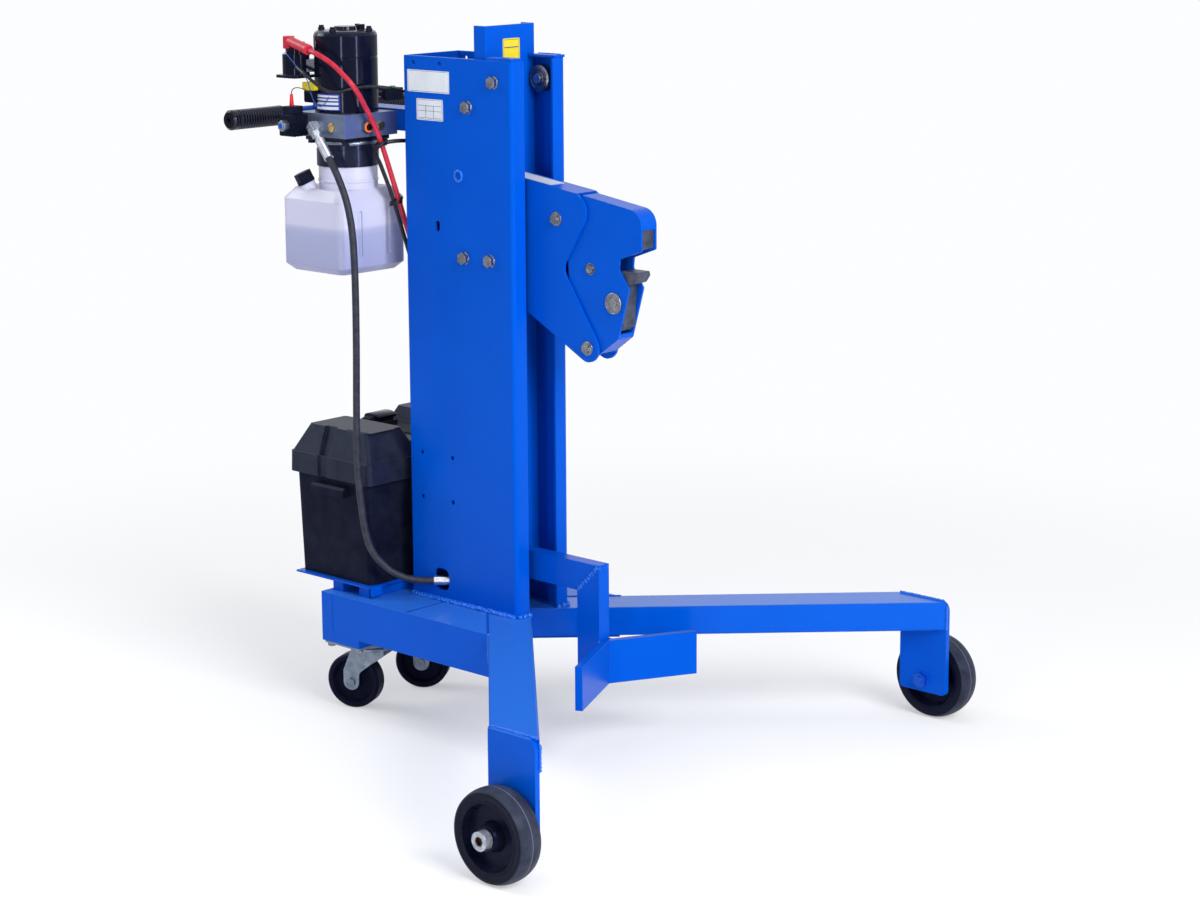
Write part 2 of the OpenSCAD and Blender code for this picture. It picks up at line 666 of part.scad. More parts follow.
module head_bolts() {
    w = head_w / 2;
    color("#b9bcc0") {
        rod_y(bolt_p[0], bolt_p[1], -w - 4, w + 4, pin_r - 1);
        both() rod_y(bolt_p[0], bolt_p[1], w, w + 2.4, 18);
        both() hex_y(bolt_p[0], bolt_p[1], w + 2.3, w + 7, 12);
        rod_y(pin_x + 1.5, pin_z + 134, -w - 4, w + 4, pin_r - 1);
        both() rod_y(pin_x + 1.5, pin_z + 134, w, w + 1.4, pin_r + 2);
    }
}
module beak() {
    b = bolt_p;
    color("#4c4f57") difference() {
        upright(-beak_w / 2, beak_w) polygon(outline([[b[0] + 13, b[1] + 55.5, 2], [b[0] + 49, b[1] + 55.5, 2],
            [b[0] + 50.5, b[1] + 48.5, 1.5], [b[0] + 42, b[1] + 37, 2], [b[0] + 21, b[1] + 30, 6],
            [b[0] + 16.5, b[1] - 38, 5], [b[0] + 9, b[1] - 47, 4], [b[0] - 15, b[1] - 49, 6],
            [b[0] - 19, b[1] + 2, 10], [b[0] - 2, b[1] + 36, 8]]));
        rod_y(b[0], b[1], -beak_w, beak_w, pin_r - 1 + run);
    }
}

// Drum brace: mitred tube arm and post with a bent V plate
brace_bot = brace_top - brace_h;
post_back = post_front - brace_h;
module brace_tube(points) {
    upright(-brace_w / 2, brace_w) polygon(points);
}
module brace_arm() {
    t = brace_t;
    color("#0f58d6") difference() {
        brace_tube([[car_front, brace_top], [post_front, brace_top], [post_back, brace_bot], [car_front, brace_bot]]);
        upright(-brace_w / 2 + t, brace_w - 2 * t) polygon([[car_front - 1, brace_top - t],
            [post_front - t + 1, brace_top - t], [post_back + t + 1, brace_bot + t], [car_front - 1, brace_bot + t]]);
    }
}
module brace_post() {
    t = brace_t;
    color("#0f58d6") difference() {
        brace_tube([[post_front, brace_top], [post_front, post_bot], [post_back, post_bot], [post_back, brace_bot]]);
        upright(-brace_w / 2 + t, brace_w - 2 * t) polygon([[post_front - t, brace_top - t + 1],
            [post_front - t, post_bot - 1], [post_back + t, post_bot - 1], [post_back + t, brace_bot + t + 1]]);
    }
}
module brace_vee() {
    color("#1b63dc") difference() {
        translate([0, 0, vee_top - vee_h]) linear_extrude(vee_h)
            polygon(ribbon([[vee_v + vee_x, -vee_y, 0], [vee_v, 0, 0], [vee_v + vee_x, vee_y, 0]], vee_t));
        translate([post_back, -40, vee_top - vee_h - 1]) cube([brace_h, 80, vee_h + 2]);
    }
}

// Handle
module handle_stem() {
    color("#1257c8") difference() {
        translate([bar_x, -stem_w / 2, bar_z - stem_h / 2]) cube([mast_back - bar_x, stem_w, stem_h]);
        translate([bar_x - 1, -stem_w / 2 + 3.2, bar_z - stem_h / 2 + 3.2])
            cube([mast_back - bar_x + 2, stem_w - 6.4, stem_h - 6.4]);
        rod_y(bar_x, bar_z, -stem_w, stem_w, bar_r);
    }
}
module handle_bar() {
    color("#1257c8") difference() {
        rod_y(bar_x, bar_z, -bar_y + 4, bar_y - 4, bar_r);
        rod_y(bar_x, bar_z, -bar_y + 3, bar_y - 3, bar_r - 2.5);
    }
}
grip_ribs = 16;
module grips() {
    pitch = (grip_l - 24) / grip_ribs;
    color("#18181a") both() translate([bar_x, bar_y - grip_l, bar_z]) rotate([-90, 0, 0]) rotate_extrude()
        polygon(concat([[bar_r, 0], [grip_r, 0], [grip_r, 4]],
            [for (i = [0:grip_ribs - 1]) each [[grip_r - 1.6, 5 + i * pitch], [grip_r - 1.6, 5 + (i + 0.35) * pitch],
                [grip_r - 0.2, 5 + (i + 0.5) * pitch], [grip_r - 0.2, 5 + (i + 0.85) * pitch]]],
            [[grip_r - 1.6, grip_l - 18], [grip_r, grip_l - 16], [grip_r, grip_l - 4], [grip_r - 4, grip_l],
                [5, grip_l], [5, grip_l - 4], [bar_r, grip_l - 4]]));
}
switch_z = bar_z + grip_r + 13;
module switch_box() {
    color("#1b1b1e") difference() {
        translate([bar_x - 15, switch_y - 23, bar_z + 8]) cube([30, 46, switch_z - bar_z - 8]);
        rod_y(bar_x, bar_z, switch_y - 30, switch_y + 30, grip_r);
        for (s = [-1, 1]) rod_z(bar_x, switch_y + s * 10, switch_z - 7, switch_z + 1, 6);
    }
}
module button(s) {
    color(s > 0 ? "#2f9e44" : "#c92a2a") {
        rod_z(bar_x, switch_y + s * 10, switch_z - 4, switch_z + 3, 5.7);
    }
}

// Power unit
module manifold() {
    color("#b4b7bb") difference() {
        translate([man_front - man_s, man_near, man_bot]) cube([man_s, man_s, man_h]);
        for (y = [48, 84]) rod_x(man_front - 14, man_front + 1, man_near + y, man_bot + 18, 6);
        for (x = [35, 62]) rod_y(man_front - x, man_bot + 18, man_near - 1, man_near + 14, 6);
        rod_y(man_front - 113, man_bot + 20, man_near - 1, man_near + 20, 7);
    }
}
module motor() {
    r = motor_r;
    color("#141416") {
        translate([unit_x, unit_y, man_top]) rotate_extrude($fn = 72) polygon([[0, 0], [r, 0],
            [r, motor_l - 48], [r - 0.8, motor_l - 47.5], [r - 0.8, motor_l - 46.5], [r, motor_l - 46],
            [r, motor_l - 9], [r - 2, motor_l - 4], [r - 7, motor_l - 1], [r - 18, motor_l], [20, motor_l],
            [19, motor_l + 6], [0, motor_l + 6]]);
        for (a = [20, 110, 200, 290]) translate([unit_x + (r - 9) * cos(a), unit_y + (r - 9) * sin(a), motor_top - 3]) {
            cylinder(h = 6, r = 6);
            cylinder(h = 10, d = 8 / cos(30), $fn = 6);
        }
        rotate(0) translate([unit_x + 18, unit_y + 12, motor_top - 1]) cube([7, 12, 10]);
    }
}
module tank_collar() {
    color("#18181a") difference() {
        union() {
            translate([unit_x - 52, unit_y - 52, man_bot - 8]) cube([104, 104, 8]);
            rod_z(unit_x, unit_y, collar_z, man_bot - 7, neck_r + 3);
            for (x = [-1, 1], y = [-1, 1]) translate([unit_x + x * 44, unit_y + y * 44, man_bot - 14])
                cylinder(h = 7, d = 13 / cos(30), $fn = 6);
        }
        translate([unit_x, unit_y, collar_z + 30]) rotate_extrude()
            polygon([[neck_r + 1.5, 0], [neck_r + 4, 0], [neck_r + 4, 8], [neck_r + 1.5, 8]]);
        rod_z(unit_x, unit_y, collar_z - 1, collar_z + 24, neck_r - 4);
    }
}
cap_p = [unit_x - 45, unit_y - 58, neck_z + 8];
cap_d = unit([-0.28, -0.3, 0.9]);
module tank() {
    s = tank_s / 2 - 20;
    color("#dcd6e6") {
        difference() {
            hull() for (x = [-1, 1], y = [-1, 1]) translate([tank_x + x * s, unit_y + y * s, neck_z - tank_h]) {
                translate([-x * 6, -y * 6, 0]) cylinder(h = 1, r = 12, $fn = 32);
                translate([0, 0, 12]) cylinder(h = tank_h - 30, r = 20, $fn = 32);
                translate([-x * 10, -y * 10, tank_h - 1]) cylinder(h = 1, r = 14, $fn = 32);
            }
            for (y = [-33, 33]) translate([tank_x + tank_s / 2 + 1, unit_y + y, neck_z - tank_h + 34])
                hull() for (z = [0, 74]) translate([0, 0, z]) rotate([0, -90, 0]) cylinder(h = 4, r = 4, $fn = 16);
        }
        rod_z(unit_x, unit_y, neck_z - 1, collar_z, neck_r);
        rod_z(unit_x, unit_y, neck_z + 12, neck_z + 16, neck_r + 1.2);
        difference() {
            aim(cap_p - cap_d * 24, cap_d) cylinder(h = 25, r = 14);
            rod_z(unit_x, unit_y, neck_z - 60, collar_z, neck_r - 2);
        }
    }
}
module filler_cap() {
    color("#151517") aim(cap_p, cap_d) translate([0, 0, 1.3]) {
        cylinder(h = 5, r = 16);
        cylinder(h = 20, d = 27 / cos(30), $fn = 6);
    }
}

// Starter solenoid on a bracket, coil of the lowering valve, plugs, fittings
sol = [unit_x - 66, unit_y - 58, motor_top - 76];
module solenoid() {
    color("#1d1d20") {
        rod_z(sol[0], sol[1], sol[2] - 4, sol[2] + 34, 24);
        rod_z(sol[0], sol[1], sol[2] + 33, sol[2] + 43, 18);
        for (s = [-1, 1]) translate([sol[0] + s * 10, sol[1] + s * 7, sol[2] + 42]) {
            cylinder(h = 12, r = 3);
            cylinder(h = 5, d = 11 / cos(30), $fn = 6);
        }
        aim(wire_p - wire_d * 2, wire_d) cylinder(h = 12, r = 5);
        // Bracket that holds it to the motor shell
        difference() {
            union() {
                translate(sol) rotate(atan2(unit_y - sol[1], unit_x - sol[0])) translate([20, -15, 3]) cube([60, 30, 22]);
                translate([sol[0] - 28, sol[1] - 28, sol[2] - 7]) linear_extrude(5) rounded_block(0, 56, 0, 56, 10);
            }
            rod_z(unit_x, unit_y, man_top, motor_top, motor_r);
        }
    }
}
coil_p = [man_front - 113, man_bot + 20];
module valve_coil() {
    color("#1d1d20") {
        rod_y(coil_p[0], coil_p[1], man_near - 42, man_near + 12, 6.6);
        translate([coil_p[0] - 18, man_near - 36, coil_p[1] - 18]) cube([36, 34, 36]);
        translate([coil_p[0] - 11, man_near - 34, coil_p[1] + 17]) cube([22, 28, 16]);
        rod_y(coil_p[0], coil_p[1], man_near - 3, man_near, 11);
    }
    color("#b9bcc0") hex_y(coil_p[0], coil_p[1], man_near - 47, man_near - 36, 17);
}
module port_plugs() {
    color("#b08d3c") {
        for (y = [48, 84]) {
            rod_x(man_front - 12, man_front + 1, man_near + y, man_bot + 18, 6);
            translate([man_front, man_near + y, man_bot + 18]) rotate([0, 90, 0])
                cylinder(h = 4 + (y < 60 ? 5 : 0), d = (y < 60 ? 19 : 14) / cos(30), $fn = 6);
        }
        rod_y(man_front - 35, man_bot + 18, man_near - 2, man_near + 12, 6);
        rod_y(man_front - 35, man_bot + 18, man_near - 2, man_near, 8);
    }
}
// Pressure fitting on the block: hex, elbow and crimped sleeve
elbow_p = [man_front - 62, man_near - 18, man_bot + 18];
crimp_d = unit([49, -8, -51]);
crimp_end = elbow_p + crimp_d * 70;
low_d = unit(port_d);
low_start = port_p + port_d * 14;
low_end = low_start + low_d * 52;
module hose_fittings() {
    color("#c9ccd0") {
        rod_y(elbow_p[0], elbow_p[2], man_near - 1, man_near + 12, 6);
        hex_y(elbow_p[0], elbow_p[2], man_near - 10, man_near, 17);
        rod_y(elbow_p[0], elbow_p[2], elbow_p[1], man_near - 9, 6.5);
        aim(elbow_p - crimp_d * 8, crimp_d) translate([-8, -8, 0]) cube([16, 16, 17]);
        aim(elbow_p, crimp_d) {
            cylinder(h = 32, r = 5.5);
            translate([0, 0, 10]) cylinder(h = 11, d = 17 / cos(30), $fn = 6);
            translate([0, 0, 28]) cylinder(h = 42, r = hose_r + 2.2);
        }
        // Lower end, screwed on the port of the cylinder
        aim(low_start, low_d) {
            cylinder(h = 11, d = 17 / cos(30), $fn = 6);
            cylinder(h = 22, r = 5.5);
            translate([0, 0, 15]) cylinder(h = 37, r = hose_r + 2.2);
        }
    }
}

// Routes of the hose and the two cables
hose_route = [crimp_end, crimp_end + crimp_d * 22, [-212, -176, 950], [-196, -176, 885],
    [-192, -176, 780], [-198, -172, 660], [-207, -167, 500], [-203, -162, 395], [-190, -152, 320],
    [-160, -120, 276], low_end + low_d * 22, low_end];
module hose() {
    color("#1a1a1d") sweep(smooth(hose_route, 2), hose_r, 12, [0, 1, 0]);
}
// Boot over the terminal of the solenoid, and the battery and control cables
boot_p = [sol[0] - 10, sol[1] - 7, sol[2] + 57];
boot_d = unit([70, -15, -13]);
boot_end = boot_p + boot_d * 72;
module cable_boot() {
    color("#c8323c") difference() {
        union() {
            rod_z(boot_p[0], boot_p[1], boot_p[2] - 14, boot_p[2] + 8, 10.5);
            aim(boot_p, boot_d) {
                cylinder(h = 58, r1 = 9.5, r2 = 8.6);
                translate([0, 0, 57]) cylinder(h = 15, r = 9.4);
            }
        }
        rod_z(boot_p[0], boot_p[1], boot_p[2] - 15, boot_p[2] - 2, 6.6);
    }
}
red_route = [boot_end, boot_end + boot_d * 20, [-250, -166, 1179], [-214, -152, 1143], [-220, -120, 1106],
    [-219, -92, 1058], [-213, -74, 1003], [-203, -52, 920], [-188, -20, 800], [-187, 30, 680], [-187, 66, 570],
    [socket_x, 74, socket_z + 30], [socket_x, 74, socket_z]];
module red_cable() {
    color("#c8323c") sweep(smooth(red_route, 2), cable_r, 8);
}
// The ground cable leaves a bolted lug on the back of the mast
lug_p = [mast_back, -4, 1040];
ground_route = [[mast_back - 9, lug_p[1] - 14, 1040], [mast_back - 9, lug_p[1] - 30, 1040], [-192, -54, 1041], [-199, -76, 1041],
    [-209, -93, 1036], [-220, -96, 1023], [-222, -85, 1004], [-217, -73, 970], [-210, -60, 925], [-196, -30, 810],
    [-187, 14, 690], [-187, 46, 570], [socket_x, 56, socket_z + 26], [socket_x, 56, socket_z]];
module ground_cable() {
    color("#151517") sweep(ground_route, ground_r, 8);
}
module ground_lug() {
    color("#b9bcc0") {
        rod_x(lug_p[0] - 2, lug_p[0], lug_p[1], lug_p[2], 9);
        translate([lug_p[0] - 2, lug_p[1], lug_p[2]]) rotate([0, -90, 0]) cylinder(h = 6, d = 12 / cos(30), $fn = 6);
        translate([lug_p[0] - 2, lug_p[1] - 10, lug_p[2] - 5]) cube([2, 10, 10]);
        rod_y(lug_p[0] - 9, lug_p[2], lug_p[1] - 14, lug_p[1] - 5, ground_r + 1.2);
        translate([lug_p[0] - 9, lug_p[1] - 12, lug_p[2] - 4]) cube([8, 4, 8]);
    }
}
// The control cable leaves a gland on the solenoid for the switch box
wire_d = [cos(-40), sin(-40), 0];
wire_p = [sol[0] + 22 * cos(-40), sol[1] + 22 * sin(-40), sol[2] + 14];
wire_start = wire_p + wire_d * 10;
switch_in = [bar_x + 8, switch_y - 23, switch_z - 6];
control_route = [wire_start, wire_start + wire_d * 10, [-300, -182, 1158], [-270, -172, 1136], [-252, -156, 1129],
    [-241, -136, 1133], [-230, -96, 1136], [-214, -54, 1130], [-198, -14, 1116], [-200, 18, 1104], [-228, 36, 1088],
    [-300, 38, 1080], [-410, 38, 1080], [-434, 62, 1088], [-446, 104, switch_in[2]], switch_in - [0, 12, 0], switch_in];
module control_cable() {
    color("#151517") sweep(control_route, wire_r, 8);
}

// Battery tray, box, lid and strap
module tray() {
    color("#1257c8") {
        translate([tray_front - tray_l, tray_near, tray_z - tray_t]) cube([tray_l, tray_w, tray_t]);
        for (x = [tray_front - 34, base_back + 8]) translate([x, -base_w / 2 + 22, deck_z])
            cube([26, base_w - 44, tray_z - tray_t - deck_z]);
        // Tab that stops the tray against the base
        translate([tray_front - 3, tray_near + 6, tray_z - tray_t - 16]) cube([3, 26, 16.5]);
    }
}
// Middle of the long walls, drawn in a little on the box and on its lid
module waist(h) {
    for (a = [-1, 1]) translate([box_mid + a * (lid_w / 2 + 20 - waist_d) - 20, tray_y - waist_w / 2, h[0]])
        cube([40, waist_w, h[1]]);
}
waist_d = 3;
waist_w = lid_l - 2 * 0.36 * lid_l + 26;
box_x = tray_l / 2 - 16;
box_y = tray_w / 2 - 19;
ledge = [86, 15, 17];
module battery_box() {
    color("#1c1d20") {
        difference() {
            hull() for (a = [-1, 1], b = [-1, 1]) {
                translate([tray_x + a * box_x - 2, tray_y + b * (box_y - 3), tray_z]) cylinder(h = 2, r = 10, $fn = 32);
                translate([box_mid + a * (box_x + 5), tray_y + b * box_y, tray_z + box_h - 2]) cylinder(h = 2, r = 10, $fn = 32);
            }
            // Side panels, let in from the corner posts
            for (a = [-1, 1]) translate([box_mid + a * (box_x + 15 + 20 - waist_d) - 20, tray_y - waist_w / 2, tray_z + 14])
                cube([40, waist_w, box_h]);
        }
        // Lifting ledge moulded below the lid at each end, hollow from below
        for (b = [-1, 1]) difference() {
            translate([box_mid - ledge[0] / 2, b < 0 ? tray_y - box_y - 9 - ledge[1] : tray_y + box_y + 9 - 3, lid_z - 12 - ledge[2]])
                cube([ledge[0], ledge[1] + 3, ledge[2]]);
            translate([box_mid - ledge[0] / 2 + 4, b < 0 ? tray_y - box_y - 5 - ledge[1] : tray_y + box_y + 9, lid_z - 17 - ledge[2]])
                cube([ledge[0] - 8, ledge[1] - 4, ledge[2]]);
            translate([box_mid - ledge[0], tray_y + b * (box_y + 9 + ledge[1]), lid_z - 12]) rotate([45, 0, 0])
                translate([0, -3.5, -3.5]) cube([ledge[0] * 2, 7, 7]);
        }
    }
}
module lid_step(x, y, z, h, dx, dy, inset, r) {
    hull() for (a = [-1, 1], b = [-1, 1]) {
        translate([x + a * (dx / 2 - r), y + b * (dy / 2 - r), z]) cylinder(h = 1, r = r, $fn = 24);
        translate([x + a * (dx / 2 - r - inset), y + b * (dy / 2 - r - inset * 0.7), z + h - 1])
            cylinder(h = 1, r = r, $fn = 24);
    }
}
groove_w = 24;
groove_x = -18;
module battery_lid() {
    hl = lid_l * 0.36;
    color("#202124") difference() {
        union() {
            lid_step(box_mid, tray_y, lid_z, skirt_h, lid_w, lid_l, 1, 10);
            for (s = [-1, 1]) lid_step(box_mid, tray_y + s * (lid_l - 8 - hl) / 2, hump_z - 1, hump_h + 1,
                lid_w - 8, hl, 28, 6);
            lid_step(box_mid, tray_y, hump_z - 1, hump_h * 0.5 + 1, lid_w - 8, lid_l - 2 * hl + 40, 14, 6);
        }
        translate([box_mid - lid_w / 2 + 7, tray_y - lid_l / 2 + 7, lid_z - 1])
            linear_extrude(6) rounded_block(0, lid_w - 14, 0, lid_l - 14, 8);
        waist([lid_z - 1, skirt_h + 1]);
        // Vent channel down each end, from the plateau to the skirt's edge
        for (b = [-1, 1]) hull() {
            translate([box_mid + groove_x - groove_w / 2, tray_y + b * (lid_l / 2 - 4) - 7, hump_z]) cube([groove_w, 14, 0.1]);
            translate([box_mid + groove_x - groove_w / 2 - 3, tray_y + b * (lid_l / 2 - 4 - 20) - 7, hump_z + hump_h - 0.1])
                cube([groove_w + 6, 14, 1]);
        }
        for (b = [-1, 1]) translate([box_mid + groove_x - groove_w / 2, tray_y + b * (lid_l / 2 - 1) - 3, lid_z - 1])
            cube([groove_w, 6, skirt_h + 3]);
    }
    // Sockets where the battery cables enter the lid
    color("#202124") for (y = [56, 74]) {
        rod_z(socket_x, y, socket_z - 24, socket_z, 8);
        translate([box_mid + lid_w / 2 - 2 * waist_d, y - 6, socket_z - 24])
            cube([socket_x - box_mid - lid_w / 2 + 2 * waist_d, 12, 22]);
    }
}
strap_w = 38;
module battery_strap() {
    f = box_mid + lid_w / 2 + 1 - waist_d;
    b = box_mid - lid_w / 2 - 1 + waist_d;
    top = hump_z + hump_h * 0.5 + 0.3;
    color("#131315") {
        upright(tray_y - strap_w / 2, strap_w) polygon(ribbon([[tray_front - tray_l, tray_z - tray_t, 0],
            [b, lid_z, 4], [b, hump_z - 1, 3], [b + 14, top, 6], [f - 14, top, 6], [f, hump_z - 1, 3],
            [f, lid_z, 4], [tray_front, tray_z - tray_t, 0]], 2));
        translate([box_mid - 82, tray_y - 22, top + 1.5]) difference() {
            cube([54, 44, 9]);
            translate([8, 6, 4]) cube([38, 32, 6]);
        }
        upright(tray_y - strap_w / 2, strap_w) polygon(outline([[box_mid - 86, top + 9, 1], [box_mid - 38, top + 9, 1],
            [box_mid - 34, top + 14, 2], [box_mid - 70, top + 18, 3]]));
    }
}

shift() base_box();
shift() leg(-1);  // leg_near
shift() leg(1);  // leg_far
shift() wheel_plates();
shift() mast_side(-1);  // mast_side_near
shift() mast_side(1);  // mast_side_far
shift() mast_back_plate();
shift() ground_lug();
shift() rail_caps();
shift() roller_pair(tf_x, top_front_z, roll_r);  // roller_top_front
shift() roller_pair(tr_x, top_rear_z, keep_r);  // roller_top_rear
shift() roller_pair(lr_x, low_rear_z, roll_r);  // roller_low_rear
shift() roller_pair(lf_x, low_front_z, keep_r);  // roller_low_front
shift() roller_bolts();
shift() carriage();
shift() lift_rod();
shift() cylinder_body();  // cylinder
shift() arm_channel();
shift() arm_pins();
shift() brace_arm();
shift() brace_post();
shift() brace_vee();
shift() clamp_head();
shift() upper_jaw();
shift() head_bolts();
shift() beak();
shift() tyre(-1);  // tyre_near
shift() tyre(1);  // tyre_far
shift() hub(-1);  // hub_near
shift() hub(1);  // hub_far
shift() front_axles();
shift() caster_plates();
shift() fork(-1);  // fork_near
shift() fork(1);  // fork_far
shift() caster_wheel(-1);  // caster_wheel_near
shift() caster_wheel(1);  // caster_wheel_far
shift() manifold();
shift() motor();
shift() tank_collar();
shift() tank();
shift() filler_cap();
shift() solenoid();
shift() valve_coil();
shift() port_plugs();
shift() hose_fittings();
shift() hose();
shift() cable_boot();
shift() red_cable();
shift() ground_cable();
shift() control_cable();
shift() handle_stem();
shift() handle_bar();
shift() grips();
shift() switch_box();
shift() button(1);  // button_up
shift() button(-1);  // button_down
shift() tray();
shift() battery_box();
shift() battery_lid();
shift() battery_strap();
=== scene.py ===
import bpy
import bmesh
import math
from mathutils import Matrix, Vector


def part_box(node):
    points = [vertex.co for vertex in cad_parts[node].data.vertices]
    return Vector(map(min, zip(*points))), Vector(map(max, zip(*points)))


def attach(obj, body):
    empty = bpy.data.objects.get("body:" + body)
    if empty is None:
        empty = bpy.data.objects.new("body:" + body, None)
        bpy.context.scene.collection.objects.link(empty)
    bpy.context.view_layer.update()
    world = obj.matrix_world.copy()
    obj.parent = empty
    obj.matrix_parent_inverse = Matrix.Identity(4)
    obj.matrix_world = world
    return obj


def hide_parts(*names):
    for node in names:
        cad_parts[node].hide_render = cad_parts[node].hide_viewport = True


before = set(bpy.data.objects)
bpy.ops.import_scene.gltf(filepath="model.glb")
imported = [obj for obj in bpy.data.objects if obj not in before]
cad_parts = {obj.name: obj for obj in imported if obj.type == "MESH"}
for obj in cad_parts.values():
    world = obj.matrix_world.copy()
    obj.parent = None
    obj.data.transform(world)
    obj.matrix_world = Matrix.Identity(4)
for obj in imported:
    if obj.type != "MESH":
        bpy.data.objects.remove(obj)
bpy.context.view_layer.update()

# Studio camera
# The machine is seen from the front right, a little above the mast, with a
# long lens, as in the photograph.
camera = bpy.data.objects.new("camera", bpy.data.cameras.new("camera"))
bpy.context.scene.collection.objects.link(camera)
camera_place = (3.3206, -3.42887, 1.55985)
turn, dip, tilt = math.radians(43.78), math.radians(11.54), math.radians(-0.52)
ahead = Vector((-math.sin(turn) * math.cos(dip), math.cos(turn) * math.cos(dip), -math.sin(dip)))
level = Vector((math.cos(turn), math.sin(turn), 0))
above = level.cross(ahead)
right = level * math.cos(tilt) + above * math.sin(tilt)
upward = above * math.cos(tilt) - level * math.sin(tilt)
aim = Matrix((right, upward, -ahead)).transposed().to_4x4()
camera.matrix_world = Matrix.Translation(camera_place) @ aim
camera.data.sensor_width = 36
camera.data.lens = 84.27
camera.data.shift_x = 0.0449
camera.data.shift_y = -0.0332
bpy.context.scene.camera = camera
bpy.context.scene.view_settings.view_transform = "Standard"


# Studio light
# A pale room with one broad lamp in front of the machine and weaker ones
# over, beside and behind it. Two upright strips light up the folds.
def add_node(tree, kind, values={}, wires={}, **settings):
    # Adds a shader node with its settings, its values and what feeds it.
    added = tree.nodes.new("ShaderNode" + kind)
    for setting, choice in settings.items():
        setattr(added, setting, choice)
    for socket, value in values.items():
        added.inputs[socket].default_value = value
    for socket, source in wires.items():
        tree.links.new(source, added.inputs[socket])
    return added


room = bpy.data.worlds.new("room")
bpy.context.scene.world = room
room.use_nodes = True
sky = room.node_tree
sky.nodes.clear()
ray = add_node(sky, "LightPath")
seen = add_node(sky, "Math", operation="MAXIMUM",
                wires={0: ray.outputs["Is Camera Ray"], 1: ray.outputs["Is Glossy Ray"]})
through = add_node(sky, "Math", operation="MAXIMUM",
                   wires={0: seen.outputs[0], 1: ray.outputs["Is Transmission Ray"]})
dim = add_node(sky, "Background", {"Color": (0.93, 0.95, 1.0, 1), "Strength": 0.35})
white = add_node(sky, "Background", {"Color": (0.97, 0.98, 1.0, 1), "Strength": 1.0})
mixed = add_node(sky, "MixShader",
                 wires={0: through.outputs[0], 1: dim.outputs[0], 2: white.outputs[0]})
add_node(sky, "OutputWorld", wires={"Surface": mixed.outputs[0]})
machine_middle = Vector((0, 0, 0.8))
for name, place, width, height, watts in (("key_lamp", (4.4, -1.2, 3.2), 2.4, 2.4, 228),
                                          ("fill_lamp", (0.6, -4.4, 2.4), 2.6, 2.6, 8),
                                          ("back_lamp", (-3.2, -1.6, 3.0), 2.0, 2.0, 75),
                                          ("top_lamp", (0.4, 0.0, 4.2), 2.4, 2.4, 28),
                                          ("left_strip", (1.256, -2.615, 1.05), 0.22, 2.0, 17),
                                          ("right_strip", (2.637, -0.203, 1.05), 0.22, 2.0, 17)):
    lamp = bpy.data.lights.new(name, "AREA")
    lamp.shape = "RECTANGLE"
    lamp.size, lamp.size_y, lamp.energy = width, height, watts
    stand = bpy.data.objects.new(name, lamp)
    bpy.context.scene.collection.objects.link(stand)
    stand.location = place
    stand.visible_camera = False
    stand.rotation_euler = (Vector(place) - machine_middle).to_track_quat("Z", "Y").to_euler()

# Studio floor
# Plain white floor under the machine. It isn't part of the object. Away from
# the machine it glows for the camera, so it runs into the white room.
bpy.ops.object.select_all(action="DESELECT")
bpy.ops.mesh.primitive_plane_add(size=60, location=(0, 0, 0))
floor = bpy.context.object
floor.name = "studio_floor"
floor_paint = bpy.data.materials.new("floor_paint")
floor_paint.use_nodes = True
tree = floor_paint.node_tree
shader = tree.nodes["Principled BSDF"]
shader.inputs["Base Color"].default_value = (0.93, 0.93, 0.94, 1)
shader.inputs["Roughness"].default_value = 0.9
shader.inputs["Specular IOR Level"].default_value = 0.1
place = add_node(tree, "TexCoord")
reach = add_node(tree, "VectorMath", wires={0: place.outputs["Object"]}, operation="LENGTH")
away = add_node(tree, "MapRange", {"From Min": 0.75, "From Max": 2.6, "To Min": 0.4},
                {"Value": reach.outputs["Value"]}, interpolation_type="SMOOTHSTEP")
ray = add_node(tree, "LightPath")
shown = add_node(tree, "Math", operation="MULTIPLY",
                 wires={0: away.outputs[0], 1: ray.outputs["Is Camera Ray"]})
pale = add_node(tree, "Emission", {"Color": (0.98, 0.985, 1.0, 1)})
blend = add_node(tree, "MixShader",
                 wires={0: shown.outputs[0], 1: shader.outputs[0], 2: pale.outputs[0]})
tree.links.new(blend.outputs[0], tree.nodes["Material Output"].inputs["Surface"])
floor.data.materials.append(floor_paint)


